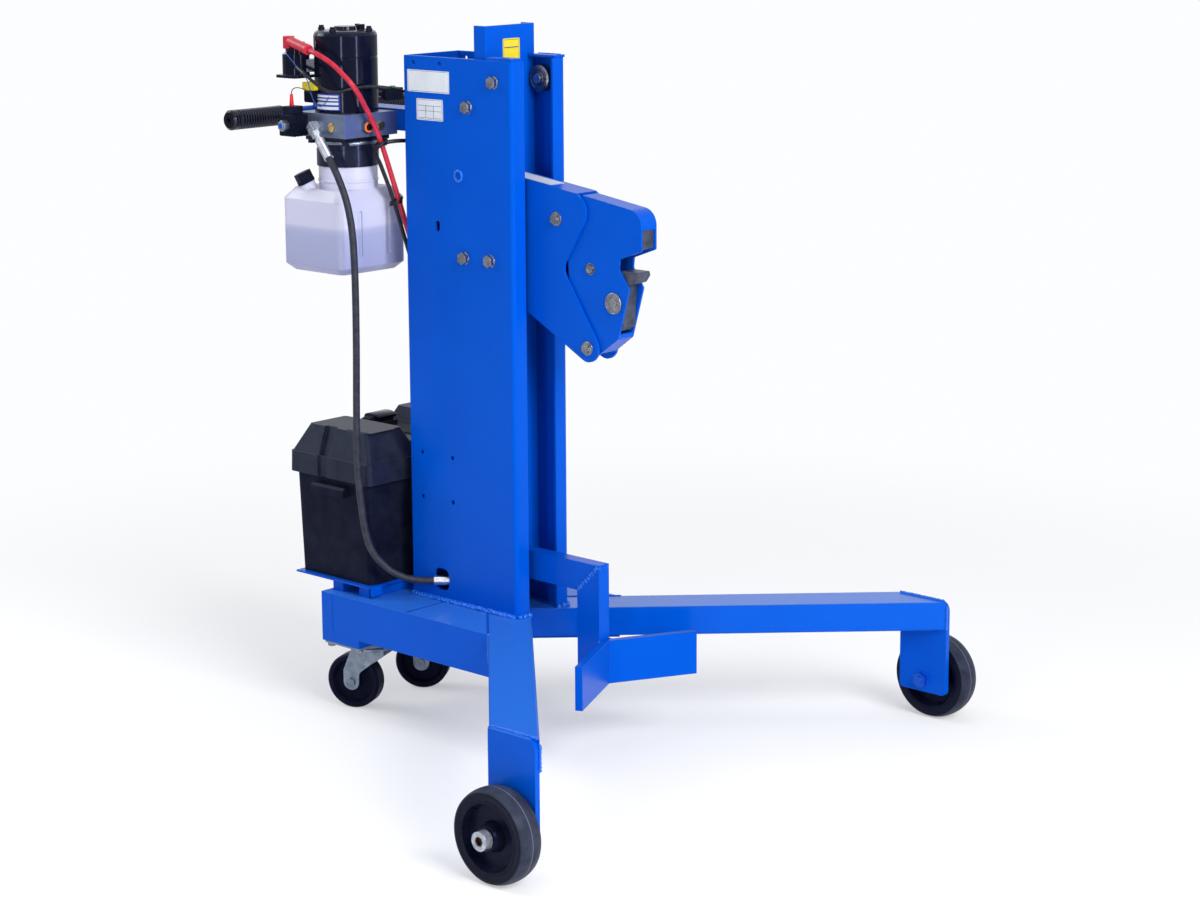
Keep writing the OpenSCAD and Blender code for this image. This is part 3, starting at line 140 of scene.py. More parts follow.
# Welded base
# Folded box of 6 mm steel plate with two legs of rectangular tube welded to
# its front, and the plates that carry the front axles. Powder coated as one
# piece after welding, so the coat runs over every joint.
def finish(name, low, high, grain, rough, metal=0.0, bump=0.0, bump_grain=500.0, clear=0.0,
           edge=0.0, stretch=(1, 1, 1), uneven=0.08, gleam=0.25, tint=(1, 1, 1)):
    # Clouds of two close colours with uneven gloss, soft edges and fine relief.
    material = bpy.data.materials.new(name)
    material.use_nodes = True
    tree = material.node_tree
    shader = tree.nodes["Principled BSDF"]
    place = add_node(tree, "TexCoord")
    spread = add_node(tree, "Mapping", {"Scale": stretch}, {"Vector": place.outputs["Object"]})
    cloud = add_node(tree, "TexNoise", {"Scale": grain, "Detail": 6, "Roughness": 0.6},
                     {"Vector": spread.outputs["Vector"]})
    shade = add_node(tree, "ValToRGB", wires={0: cloud.outputs[0]})
    for stop, at, colour in zip(shade.color_ramp.elements, (0.35, 0.68), (low, high)):
        stop.position = at
        stop.color = (*colour, 1)
    worn = add_node(tree, "MapRange", {"To Min": max(rough - uneven, 0.03),
                                       "To Max": min(rough + uneven, 1.0)},
                    {"Value": cloud.outputs[0]})
    tree.links.new(shade.outputs[0], shader.inputs["Base Color"])
    tree.links.new(worn.outputs[0], shader.inputs["Roughness"])
    shader.inputs["Metallic"].default_value = metal
    shader.inputs["Specular IOR Level"].default_value = 0.5 if metal > 0.5 else gleam
    shader.inputs["Specular Tint"].default_value = (*tint, 1)
    shader.inputs["Coat Weight"].default_value = clear
    shader.inputs["Coat Roughness"].default_value = 0.08
    surface = None
    if edge:
        surface = add_node(tree, "Bevel", {"Radius": edge}, samples=4).outputs["Normal"]
    if bump:
        fine = add_node(tree, "TexNoise", {"Scale": bump_grain, "Detail": 3},
                        {"Vector": spread.outputs["Vector"]})
        relief = add_node(tree, "Bump", {"Strength": bump, "Distance": 0.0006},
                          {"Height": fine.outputs[0]})
        if surface:
            tree.links.new(surface, relief.inputs["Normal"])
        surface = relief.outputs["Normal"]
    if surface:
        tree.links.new(surface, shader.inputs["Normal"])
    return material


def dress(material, *names):
    # Gives the finish to whole nodes of the CAD model.
    for name in names:
        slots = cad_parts[name].data.materials
        if not len(slots):
            slots.append(material)
        for i in range(len(slots)):
            slots[i] = material


def toned(material, across, middle, near, far, colour):
    # Tints what lies close to an axle or a level.
    tree = material.node_tree
    shader = tree.nodes["Principled BSDF"]
    own = shader.inputs["Base Color"].links[0].from_socket
    place = add_node(tree, "TexCoord")
    centred = add_node(tree, "VectorMath", {1: middle}, {0: place.outputs["Object"]},
                       operation="SUBTRACT")
    flat = add_node(tree, "VectorMath", {1: across}, {0: centred.outputs[0]},
                    operation="MULTIPLY")
    reach = add_node(tree, "VectorMath", wires={0: flat.outputs[0]}, operation="LENGTH")
    band = add_node(tree, "MapRange", {"From Min": near, "From Max": far},
                    {"Value": reach.outputs["Value"]})
    blend = add_node(tree, "Mix", {"A": (*colour, 1)}, {"Factor": band.outputs[0], "B": own},
                     data_type="RGBA")
    tree.links.new(blend.outputs["Result"], shader.inputs["Base Color"])


blue_gloss = (0.1, 0.4, 1.0)
blue_paint, deck_paint = [
    finish(name, (0.0, 0.070, 0.485), (0.0003, 0.075, 0.515), 9, 0.26, bump=0.06, bump_grain=520,
           edge=0.0018, uneven=0.02, gleam=0.16, tint=blue_gloss)
    for name in ("blue_paint", "deck_paint")]
# The tube comes rolled with round corners, which the coat keeps.
tube_paint = finish("tube_paint", (0.0, 0.072, 0.490), (0.0003, 0.078, 0.520), 9, 0.24,
                    bump=0.06, bump_grain=520, clear=0.10, edge=0.0055, uneven=0.02,
                    tint=blue_gloss)
# Painted light: the level tops are tinted paler, standing in for the light they catch from above.
level_top = (0, 0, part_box("base_box")[1].z)
for paint in (deck_paint, tube_paint):
    toned(paint, (0, 0, 1), level_top, 0.0003, 0.0006, (0.022, 0.135, 0.57))
dress(deck_paint, "base_box", "wheel_plates")
dress(tube_paint, "leg_near", "leg_far")


def settle(name, material, body, second=None):
    # Finishes the piece that has just been made and hangs it on its body.
    piece = bpy.context.object
    piece.name = piece.data.name = name
    bpy.ops.object.transform_apply()
    marked = [face.material_index for face in piece.data.polygons]
    piece.data.materials.clear()
    piece.data.materials.append(material)
    if second:
        piece.data.materials.append(second)
        piece.data.polygons.foreach_set("material_index", marked)
    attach(piece, body)
    return piece


def reshape(piece, kind, **settings):
    # Puts a modifier on the piece and applies it.
    modifier = piece.modifiers.new("step", kind)
    for setting, value in settings.items():
        setattr(modifier, setting, value)
    bpy.ops.object.modifier_apply(modifier="step")


def roughen(offset, seed):
    # A weld made by hand is never even.
    bpy.ops.object.mode_set(mode="EDIT")
    bpy.ops.mesh.select_all(action="SELECT")
    bpy.ops.transform.vertex_random(offset=offset, uniform=0.6, seed=seed)
    bpy.ops.object.mode_set(mode="OBJECT")


# The beads' coat is painted paler than the plate's, a painted highlight for the light their ragged
# surface catches.
weld_paint = finish("weld_paint", (0.0, 0.085, 0.54), (0.004, 0.13, 0.66), 260, 0.14, bump=0.3,
                    bump_grain=900, clear=0.35, uneven=0.05, gleam=0.4, tint=(0.3, 0.6, 1.0))


def weld(name, start, end, size=0.0030, body="frame", coat=weld_paint):
    # A row of overlapping drops from start to end.
    run = Vector(end) - Vector(start)
    count = max(3, int(run.length / (size * 1.2)))
    bpy.ops.object.select_all(action="DESELECT")
    bpy.ops.mesh.primitive_uv_sphere_add(segments=8, ring_count=6, radius=size, location=start)
    bpy.ops.object.transform_apply()
    reshape(bpy.context.object, "ARRAY", use_relative_offset=False, use_constant_offset=True,
            constant_offset_displace=run / (count - 1), count=count)
    roughen(size * 0.28, count)
    bpy.ops.object.shade_smooth()
    return settle(name, coat, body)


# The near side of the machine is the one towards minus y.
hands = ((-1, "near"), (1, "far"))
weld_top, weld_foot = 0.2283, 0.1790
joint_x, joint_y = 0.0536, 0.1672
plate_front, plate_rear, plate_y = 0.5135, 0.4060, 0.5195
for side, hand in hands:
    weld("weld_base_top_" + hand, (-0.0482, side * 0.0672, weld_top),
         (0.0528, side * joint_y, weld_top), 0.0014, coat=blue_paint)
    weld("weld_base_corner_" + hand, (joint_x, side * joint_y, weld_foot),
         (joint_x, side * joint_y, 0.2270), 0.0028)
    weld("weld_plate_top_" + hand, (0.4130, side * 0.5202, weld_top),
         (0.5060, side * 0.5202, weld_top), 0.0032)
    weld("weld_plate_edge_" + hand, (plate_front, side * plate_y, weld_foot),
         (plate_front, side * plate_y, 0.2180), 0.0026)
    weld("weld_plate_back_" + hand, (plate_rear, side * plate_y, weld_foot),
         (plate_rear, side * plate_y, 0.2240), 0.0026)
# The deck plate meets the rear box in a dressed seam under the mast's foot. Its bead is painted
# darker, as painted shade along the seam.
seam_shade_paint = finish("seam_shade_paint", (0.0, 0.032, 0.23), (0.001, 0.045, 0.30), 200, 0.34, bump=0.3,
                    bump_grain=900, tint=blue_gloss)
weld("weld_deck_seam", (-0.1520, -0.1655, 0.2275), (-0.1520, -0.0680, 0.2275), 0.0015,
     coat=seam_shade_paint)
weld("weld_side_seam", (-0.3430, -0.1668, 0.1545), (-0.3430, -0.1668, 0.2260), 0.0013,
     coat=blue_paint)

# Mast
# Two channels of 4.8 mm plate with folded flanges, held by the back plate
# and closed at the top by welded caps. The earth lug is a steel tab.
dress(blue_paint, "mast_side_near", "mast_side_far", "mast_back_plate", "rail_caps")
zinc = finish("zinc", (0.12, 0.15, 0.20), (0.24, 0.28, 0.34), 60, 0.36, metal=0.85, bump=0.12,
              bump_grain=260, edge=0.0008)
dress(zinc, "ground_lug")
mast_foot, cap_weld_z = 0.2293, 1.1962
for side, hand in hands:
    weld("weld_mast_foot_" + hand, (-0.2340, side * 0.0676, mast_foot),
         (0.0150, side * 0.0676, mast_foot), 0.0060)
    weld("weld_flange_foot_" + hand, (0.0254, side * 0.0600, mast_foot),
         (0.0254, side * 0.0370, mast_foot), 0.0054)
    weld("weld_cap_" + hand, (-0.0330, side * 0.0612, cap_weld_z),
         (0.0170, side * 0.0612, cap_weld_z), 0.0016)

# A plug weld joins each side plate to the cross plate behind it.
plug_x, plug_y, plug_z, plug_radius = -0.1052, 0.0664, 0.991, 0.0090
for side, hand in hands:
    bpy.ops.object.select_all(action="DESELECT")
    bpy.ops.mesh.primitive_uv_sphere_add(segments=8, ring_count=6, radius=0.0027,
                                         location=(plug_x + plug_radius, side * plug_y, plug_z))
    bpy.ops.object.mode_set(mode="EDIT")
    bpy.ops.mesh.select_all(action="SELECT")
    bpy.ops.mesh.spin(steps=26, angle=math.radians(330), dupli=True,
                      center=(plug_x, side * plug_y, plug_z), axis=(0, 1, 0))
    bpy.ops.mesh.normals_make_consistent(inside=False)
    bpy.ops.object.mode_set(mode="OBJECT")
    roughen(0.0008, 5)
    bpy.ops.object.shade_smooth()
    settle("plug_weld_" + hand, weld_paint, "frame")


# Bare labels
# Thin blank vinyl labels with a printed edge line, stuck on the mast's near
# side after painting.
def pick(piece, kind, wanted):
    # Selects, in edit mode, the edges or faces that pass the test.
    bpy.ops.mesh.select_mode(type=kind)
    bpy.ops.mesh.select_all(action="DESELECT")
    shape = bmesh.from_edit_mesh(piece.data)
    for part in shape.edges if kind == "EDGE" else shape.faces:
        part.select = wanted(part)
    bmesh.update_edit_mesh(piece.data)


def mark(piece, index):
    # Gives the selected faces the piece's first or second material.
    shape = bmesh.from_edit_mesh(piece.data)
    for face in shape.faces:
        if face.select:
            face.material_index = index
    bmesh.update_edit_mesh(piece.data)


def plate(low, high, corner, along, line=0.0):
    # A flat piece with round corners, and a line inside its edge if asked.
    bpy.ops.object.select_all(action="DESELECT")
    bpy.ops.mesh.primitive_cube_add(size=1, location=[(a + b) / 2 for a, b in zip(low, high)],
                                    scale=[b - a for a, b in zip(low, high)])
    piece = bpy.context.object
    bpy.ops.object.transform_apply()
    bpy.ops.object.mode_set(mode="EDIT")
    pick(piece, "EDGE",
         lambda edge: abs((edge.verts[0].co - edge.verts[1].co).normalized()[along]) > 0.9)
    bpy.ops.mesh.bevel(offset=corner, segments=4)
    if line:
        pick(piece, "FACE", lambda face: abs(face.normal[along]) > 0.9)
        bpy.ops.mesh.inset(thickness=line * 2, use_even_offset=True)
        mark(piece, 1)
        bpy.ops.mesh.inset(thickness=line, use_even_offset=True)
        mark(piece, 0)
    bpy.ops.object.mode_set(mode="OBJECT")
    return piece


label_white = finish("label_white", (0.58, 0.62, 0.68), (0.66, 0.70, 0.76), 30, 0.38, bump=0.05,
                     bump_grain=200)
label_ink = finish("label_ink", (0.03, 0.05, 0.16), (0.05, 0.08, 0.22), 60, 0.40, bump=0.03,
                   bump_grain=200)
label_back, label_face = -0.0658, -0.0664
for name, left, right, low, high in (("label_upper", -0.2277, -0.1247, 1.1300, 1.1680),
                                     ("label_lower", -0.2057, -0.1407, 1.0820, 1.1190)):
    plate((left, label_face, low), (right, label_back, high), 0.002, 1, 0.0007)
    settle(name, label_white, "frame", label_ink)
# The lower one is ruled as an empty table.
for i, (left, right, low, high) in enumerate(((-0.2020, -0.1444, 1.1070, 1.1076),
                                              (-0.2020, -0.1444, 1.0980, 1.0986),
                                              (-0.2020, -0.1444, 1.0860, 1.0866),
                                              (-0.1830, -0.1824, 1.0860, 1.1076),
                                              (-0.1636, -0.1630, 1.0860, 1.1076))):
    plate((left, label_face - 0.0003, low), (right, label_face, high), 0.0001, 1)
    settle(f"label_lower_rule_{i}", label_ink, "frame")

# Drum brace
# Rectangular tube with a mitred elbow and a vee plate that rests against
# the drum. Welded to the carriage and painted with it.
dress(blue_paint, "brace_arm", "brace_post", "brace_vee")
for side, hand in hands:
    weld("weld_elbow_" + hand, (0.1633, side * 0.0100, 0.3330), (0.1203, side * 0.0100, 0.2900),
         0.0054, "carriage")
    weld("weld_vee_" + hand, (0.1690, side * 0.0140, 0.1435), (0.1690, side * 0.0140, 0.2030),
         0.0027, "carriage")
    weld("weld_arm_foot_" + hand, (-0.0402, side * 0.0126, 0.2890),
         (-0.0402, side * 0.0126, 0.3360), 0.0026, "carriage")

# Front wheels
# Two moulded wheels of black polyurethane on iron centres, turning on
# headed axle bolts through the wheel plates.
wheel_gloss = (0.3, 0.35, 1.0)
wheel_rubber = finish("wheel_rubber", (0.003, 0.004, 0.011), (0.008, 0.009, 0.021), 26, 0.40,
                      bump=0.2, bump_grain=340, edge=0.0016, gleam=0.08, tint=wheel_gloss)
# The tread's rubber is painted paler than the wheels' black, as painted light.
tread_rubber = finish("tread_rubber", (0.014, 0.018, 0.034), (0.034, 0.040, 0.068), 30, 0.42,
                      bump=0.25, bump_grain=300, edge=0.0016, gleam=0.07)
wheel_centre = finish("wheel_centre", (0.002, 0.003, 0.010), (0.006, 0.007, 0.018), 40, 0.28,
                      bump=0.1, bump_grain=600, edge=0.0016, gleam=0.10, tint=wheel_gloss)


def banded(material, start, pitch, share, colour):
    # Tints the bands that lie at equal steps along the axle, on both sides.
    tree = material.node_tree
    shader = tree.nodes["Principled BSDF"]
    own = shader.inputs["Base Color"].links[0].from_socket
    place = add_node(tree, "TexCoord")
    apart = add_node(tree, "SeparateXYZ", wires={0: place.outputs["Object"]})
    last = apart.outputs["Y"]
    for operation, value in (("ABSOLUTE", 0), ("SUBTRACT", start), ("DIVIDE", pitch),
                             ("FRACT", 0), ("LESS_THAN", share)):
        last = add_node(tree, "Math", {1: value}, {0: last}, operation=operation).outputs[0]
    blend = add_node(tree, "Mix", {"B": (*colour, 1)}, {"Factor": last, "A": own},
                     data_type="RGBA")
    tree.links.new(blend.outputs["Result"], shader.inputs["Base Color"])


# The tread is painted paler than the black sides, a painted highlight for the light that falls on
# it, and a mould line runs round the middle of each tread.
tyre_low, tyre_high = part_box("tyre_near")
axle = ((tyre_low.x + tyre_high.x) / 2, 0, (tyre_low.z + tyre_high.z) / 2)
tread_y = abs(tyre_low.y + tyre_high.y) / 2
mould_line = 0.0012
toned(tread_rubber, (1, 0, 1), axle, 0.0700, 0.0712, (0.005, 0.006, 0.015))
banded(tread_rubber, tread_y - mould_line / 2, 1.0, mould_line, (0.13, 0.14, 0.18))
dress(tread_rubber, "tyre_near", "tyre_far")
dress(wheel_rubber, "caster_wheel_near", "caster_wheel_far")
dress(wheel_centre, "hub_near", "hub_far")
axle_steel = finish("axle_steel", (0.22, 0.25, 0.31), (0.46, 0.50, 0.56), 120, 0.18, metal=0.55,
                    bump=0.08, bump_grain=500, edge=0.0016)
# A little rust sits in the drilled end of each axle. The nut behind each
# plate was painted with the base.
toned(axle_steel, (1, 0, 1), axle, 0.0072, 0.0088, (0.055, 0.030, 0.028))
banded(axle_steel, 0.4, 1.0, 0.1195, (0.0, 0.075, 0.50))
dress(axle_steel, "front_axles")

# Rear casters
# Pressed steel swivel forks, zinc plated, with black wheels. The top plates
# are bolted under the base.
dress(zinc, "caster_plates", "fork_near", "fork_far")

# Lift cylinder
# Steel barrel welded to the base with a chromed rod that pushes the
# carriage up through a lug.
black_gloss = (0.3, 0.4, 1.0)
cylinder_black = finish("cylinder_black", (0.005, 0.006, 0.015), (0.011, 0.013, 0.026), 30, 0.26,
                        bump=0.06, bump_grain=300, clear=0.2, edge=0.0014, uneven=0.03,
                        tint=black_gloss)
rod_chrome = finish("rod_chrome", (0.62, 0.63, 0.65), (0.78, 0.79, 0.80), 20, 0.10, metal=1.0,
                    stretch=(1, 1, 30), uneven=0.04)
dress(cylinder_black, "cylinder")
dress(rod_chrome, "lift_rod")

# Carriage and rollers
# Folded plate that runs inside the mast on four pairs of steel rollers, with
# the arm welded to its front. The roller bolts have flanged hexagon heads.
bolt_zinc = finish("bolt_zinc", (0.20, 0.21, 0.235), (0.38, 0.39, 0.42), 110, 0.20, metal=0.92,
                   bump=0.06, bump_grain=500, edge=0.0012)
roller_steel = finish("roller_steel", (0.10, 0.11, 0.12), (0.24, 0.24, 0.25), 70, 0.26,
                      metal=0.95, bump=0.1, bump_grain=700, edge=0.0008, stretch=(1, 3, 1))
dress(blue_paint, "carriage", "arm_channel")
dress(roller_steel, "roller_top_front", "roller_top_rear", "roller_low_rear",
      "roller_low_front")
dress(bolt_zinc, "roller_bolts", "arm_pins", "head_bolts")


def ring(name, place, across, radius, wire, material, body, ovalness=1.0):
    # A ring round the axle that across gives, drawn out along it if oval.
    bpy.ops.object.select_all(action="DESELECT")
    bpy.ops.mesh.primitive_torus_add(
        major_radius=radius, minor_radius=wire, major_segments=48, minor_segments=10,
        location=place, rotation=Vector(across).to_track_quat("Z", "Y").to_euler())
    bpy.ops.object.mode_set(mode="EDIT")
    bpy.ops.mesh.select_all(action="SELECT")
    drawn = [1 + (ovalness - 1) * abs(share) for share in Vector(across).normalized()]
    bpy.ops.transform.resize(value=drawn, center_override=place)
    bpy.ops.object.mode_set(mode="OBJECT")
    bpy.ops.object.shade_smooth()
    return settle(name, material, body)


# Each roller has the shield and the two turned grooves of a ball bearing.
for roller, x, z in (("top_front", -0.0179, 1.155), ("top_rear", -0.0805, 1.110),
                     ("low_rear", -0.0925, 0.850), ("low_front", -0.0299, 0.851)):
    for side, hand in hands:
        for groove, radius, wire in (("outer", 0.0172, 0.0009), ("inner", 0.0112, 0.0008)):
            ring(f"bearing_{groove}_{roller}_{hand}", (x, side * 0.0421, z), (0, 1, 0), radius,
                 wire, roller_steel, "rollers_" + roller, 0.8)

label_yellow = finish("label_yellow", (0.62, 0.50, 0.02), (0.70, 0.57, 0.03), 30, 0.38,
                      bump=0.05, bump_grain=200)
plate((-0.0415, -0.0190, 1.1720), (-0.0409, 0.0220, 1.2250), 0.0030, 0, 0.0009)
settle("label_carriage", label_yellow, "carriage", label_ink)
plate((-0.0407, -0.0150, 1.2090), (-0.0404, 0.0180, 1.2105), 0.0002, 0)
settle("label_carriage_rule", label_ink, "carriage")
# The label on the arm lies on its sloping top.
arm_top, arm_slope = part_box("arm_channel")[1].z, 0.126
piece = plate((-0.0300, -0.0180, -0.0003), (0.0680, 0.0180, 0.0003), 0.0030, 2, 0.0009)
piece.rotation_euler = (0, math.atan(arm_slope), 0)
piece.location = (0, 0, arm_top - arm_slope * 0.0412)
settle("label_arm", label_white, "carriage", label_ink)
for side, hand in hands:
    weld("weld_arm_side_" + hand, (-0.0400, side * 0.0258, 0.8000),
         (-0.0400, side * 0.0258, 0.9930), 0.0024, "carriage")

# Clamp head
# Two steel cheeks round the grab: a fixed upper jaw and a beak, shaped like
# an anvil on top, that swings under the drum's rim. The beak is cast iron.
head_steel = finish("head_steel", (0.0, 0.069, 0.475), (0.0003, 0.074, 0.510), 12, 0.26,
                    bump=0.06, bump_grain=520, edge=0.0016, uneven=0.02, gleam=0.18,
                    tint=blue_gloss)
dress(head_steel, "clamp_head")
dark_iron = finish("dark_iron", (0.036, 0.042, 0.070), (0.075, 0.085, 0.125), 55, 0.42,
                   metal=0.4, bump=0.35, bump_grain=240, edge=0.0012, uneven=0.14)
dress(dark_iron, "beak", "upper_jaw")
spring_steel = finish("spring_steel", (0.05, 0.05, 0.05), (0.12, 0.12, 0.12), 80, 0.34,
                      metal=0.9, bump=0.05, bump_grain=600)
for side, hand in hands:
    ring("clip_ring_" + hand, (0.1588, side * 0.0222, 0.8505), (0, 1, 0), 0.0079, 0.0010,
         spring_steel, "clamp_head")
    ring("washer_lip_" + hand, (0.2118, side * 0.0221, 0.7980), (0, 1, 0), 0.0168, 0.0007,
         bolt_zinc, "clamp_head")

# Power unit
# Motor and pump on a machined aluminium block, hung from the mast, with a
# translucent fluid tank below it and the starter solenoid on a bracket.
motor_black = finish("motor_black", (0.003, 0.004, 0.012), (0.006, 0.007, 0.018), 20, 0.18,
                     bump=0.04, bump_grain=300, clear=0.24, edge=0.0016, uneven=0.03,
                     gleam=0.10, tint=black_gloss)
block_aluminium = finish("block_aluminium", (0.115, 0.150, 0.25), (0.165, 0.205, 0.32), 30, 0.34,
                         metal=0.6, bump=0.05, bump_grain=900, edge=0.0007, stretch=(1, 1, 6))
fitting_zinc = finish("fitting_zinc", (0.46, 0.49, 0.56), (0.64, 0.67, 0.74), 110, 0.17,
                      metal=0.9, bump=0.04, bump_grain=600, edge=0.0012)
brass = finish("brass", (0.55, 0.36, 0.12), (0.74, 0.52, 0.20), 80, 0.28, metal=1.0, bump=0.06,
               bump_grain=700, edge=0.0005)
black_plastic = finish("black_plastic", (0.004, 0.005, 0.013), (0.009, 0.011, 0.024), 30, 0.38,
                       bump=0.16, bump_grain=900, edge=0.0018, uneven=0.06, gleam=0.05,
                       tint=black_gloss)
dress(motor_black, "motor", "solenoid")
# Painted reflection: the end of the block is tinted with the blue of the mast beside it.
block_end = (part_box("manifold")[1].x, 0, 0)
toned(block_aluminium, (1, 0, 0), block_end, 0.0003, 0.0006, (0.14, 0.19, 0.37))
dress(block_aluminium, "manifold")
dress(fitting_zinc, "hose_fittings")
dress(cylinder_black, "tank_collar")
dress(black_plastic, "filler_cap", "valve_coil")
# One plug is a plated steel adapter.
adapter_y, adapter_z = -0.1021, 1.0660
toned(brass, (0, 1, 1), (0, adapter_y, adapter_z), 0.0118, 0.0122, (0.22, 0.24, 0.28))
dress(brass, "port_plugs")


def cylinder(sides, radius, depth, place, lean=(0, 0, 0), ends="NGON"):
    # The round or hexagonal bar that a small piece is turned from.
    bpy.ops.object.select_all(action="DESELECT")
    bpy.ops.mesh.primitive_cylinder_add(vertices=sides, radius=radius, depth=depth,
                                        location=place, rotation=lean, end_fill_type=ends)
    bpy.ops.object.transform_apply()
    return bpy.context.object


def step_end(piece, towards, lip, push):
    # Pushes the middle of the end face in or out, inside a lip.
    bpy.ops.object.mode_set(mode="EDIT")
    pick(piece, "FACE", lambda face: face.normal.dot(Vector(towards)) > 0.9)
    bpy.ops.mesh.inset(thickness=lip)
    bpy.ops.mesh.extrude_region_move(TRANSFORM_OT_translate={"value": tuple(push)})
    bpy.ops.object.mode_set(mode="OBJECT")


def break_edges(piece, width, angle=40, segments=2):
    # Takes off the sharp edges and smooths the rest up to the angle.
    reshape(piece, "BEVEL", width=width, segments=segments)
    bpy.ops.object.shade_smooth_by_angle(angle=math.radians(angle))


# The coil's nut is zinc plated with a blue end.
coil_x, coil_z = -0.4117, 1.0680
nut = cylinder(6, 0.0103, 0.0118, (coil_x, -0.1917, coil_z), (math.radians(90), 0, 0))
step_end(nut, (0, -1, 0), 0.0042, (0, -0.0016, 0))
for face in nut.data.polygons:
    face.material_index = 1 if face.select else 0
nut.data.materials.append(zinc)
nut.data.materials.append(blue_paint)
break_edges(nut, 0.0007, 35)
settle("coil_nut", zinc, "frame", blue_paint)

# Orange seal and dark stem of the plated adapter.
orange_seal = finish("orange_seal", (0.72, 0.13, 0.01), (0.82, 0.18, 0.02), 60, 0.45, bump=0.05,
                     bump_grain=400)
plug_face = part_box("port_plugs")[1].x
ring("port_seal", (plug_face, adapter_y, adapter_z), (1, 0, 0), 0.0076, 0.0018, orange_seal,
     "frame")
stem = cylinder(24, 0.0058, 0.0060, (plug_face + 0.0012, adapter_y, adapter_z),
                (0, math.radians(90), 0))
step_end(stem, (1, 0, 0), 0.0022, (-0.0025, 0, 0))
break_edges(stem, 0.0007)
settle("adapter_stem", motor_black, "frame")

# Worm band round the black collar of the tank, with its screw.
motor_x, motor_y = -0.3610, -0.0878
band_middle = Vector((motor_x, motor_y, 1.0370))
band = cylinder(96, 0.0551, 0.005, band_middle, ends="NOTHING")
reshape(band, "SOLIDIFY", thickness=0.0009, offset=1)
break_edges(band, 0.0004)
settle("clamp_band", zinc, "frame")
screw_turn = math.radians(-31)
outward = Vector((math.cos(screw_turn), math.sin(screw_turn), 0))
screw_way = Vector((-outward.y, outward.x, 0))
# The screw is shaped along its own axis, and settle fixes it as it lies.
bpy.ops.object.select_all(action="DESELECT")
bpy.ops.mesh.primitive_cylinder_add(vertices=12, radius=0.0042, depth=0.020,
                                    location=band_middle + outward * 0.0598,
                                    rotation=screw_way.to_track_quat("Z", "Y").to_euler())
screw = bpy.context.object
step_end(screw, (0, 0, 1), 0.0016, screw_way * -0.003)
break_edges(screw, 0.0005)
settle("clamp_screw", zinc, "frame")


# The motor's label is blue vinyl with empty pale fields.
def wrap(name, radius, low, high, first, last, material):
    # A thin patch on the motor's round side, between two angles.
    patch = cylinder(120, radius, high - low, (motor_x, motor_y, (low + high) / 2),
                     ends="NOTHING")
    bpy.ops.object.mode_set(mode="EDIT")

    def outside(face):
        middle = face.calc_center_median()
        angle = math.degrees(math.atan2(middle.y - motor_y, middle.x - motor_x))
        return not first < angle < last

    pick(patch, "FACE", outside)
    bpy.ops.mesh.delete(type="FACE")
    bpy.ops.object.mode_set(mode="OBJECT")
    reshape(patch, "SOLIDIFY", thickness=0.0003, offset=1)
    bpy.ops.object.shade_smooth_by_angle(angle=math.radians(40))
    settle(name, material, "frame")


label_blue = finish("label_blue", (0.02, 0.03, 0.26), (0.03, 0.045, 0.34), 60, 0.38, bump=0.03,
                    bump_grain=200)
wrap("label_motor", 0.0561, 1.0945, 1.1235, -110, -55, label_blue)
for z, tall in ((1.0985, 0.0050), (1.1065, 0.0042), (1.1130, 0.0034), (1.1190, 0.0038)):
    wrap(f"label_motor_field_{round(z * 1000)}", 0.0564, z - tall / 2, z + tall / 2, -108, -57,
         label_white)

# Fins and spade of the lowering valve's coil, moulded over the winding,
# with the red insulated spade pushed onto its tab.
fin_pitch = 0.0078
for i in range(4):
    fin_y = -0.1835 + i * fin_pitch
    plate((coil_x - 0.0201, fin_y, coil_z - 0.0195),
          (coil_x + 0.0201, fin_y + 0.0030, coil_z + 0.0195), 0.002, 1)
    settle(f"coil_fin_{i}", black_plastic, "frame")
bpy.ops.object.select_all(action="DESELECT")
bpy.ops.mesh.primitive_cone_add(vertices=20, radius1=0.0042, radius2=0.0026, depth=0.022,
                                location=(coil_x, -0.1720, 1.1110))
break_edges(bpy.context.object, 0.0009, 50)
red_vinyl = finish("red_vinyl", (0.55, 0.01, 0.02), (0.65, 0.02, 0.03), 60, 0.35, bump=0.05,
                   bump_grain=400)
settle("coil_spade", red_vinyl, "frame")


# The solenoid's free terminal has a plated nut on a threaded stud, and a
# small stud for the control wire stands on the shoulder of the can.
def hex_nut(name, x, y, low, high, across, material):
    tall = high - low
    nut = cylinder(6, across / math.sqrt(3), tall, (x, y, (low + high) / 2))
    step_end(nut, (0, 0, 1), across * 0.17, (0, 0, tall * 0.75))
    break_edges(nut, 0.0005, 35)
    settle(name, material, "frame")


terminal_x, terminal_y = -0.4170, -0.1388
hex_nut("terminal_nut", terminal_x, terminal_y, 1.1975, 1.2045, 0.0125, fitting_zinc)
hex_nut("terminal_lock_nut", terminal_x, terminal_y, 1.2046, 1.2086, 0.0115, brass)
hex_nut("control_stud", -0.4310, -0.1660, 1.1895, 1.1930, 0.0055, fitting_zinc)

# Thermal switch clipped to the motor under the solenoid: a black case with
# a yellow cap.
plate((-0.4045, -0.1490, 1.1060), (-0.3765, -0.1290, 1.1285), 0.004, 0)
settle("switch_case", black_plastic, "frame")
plate((-0.4070, -0.1505, 1.1280), (-0.3745, -0.1290, 1.1420), 0.002, 1)
settle("switch_cap", label_yellow, "frame")

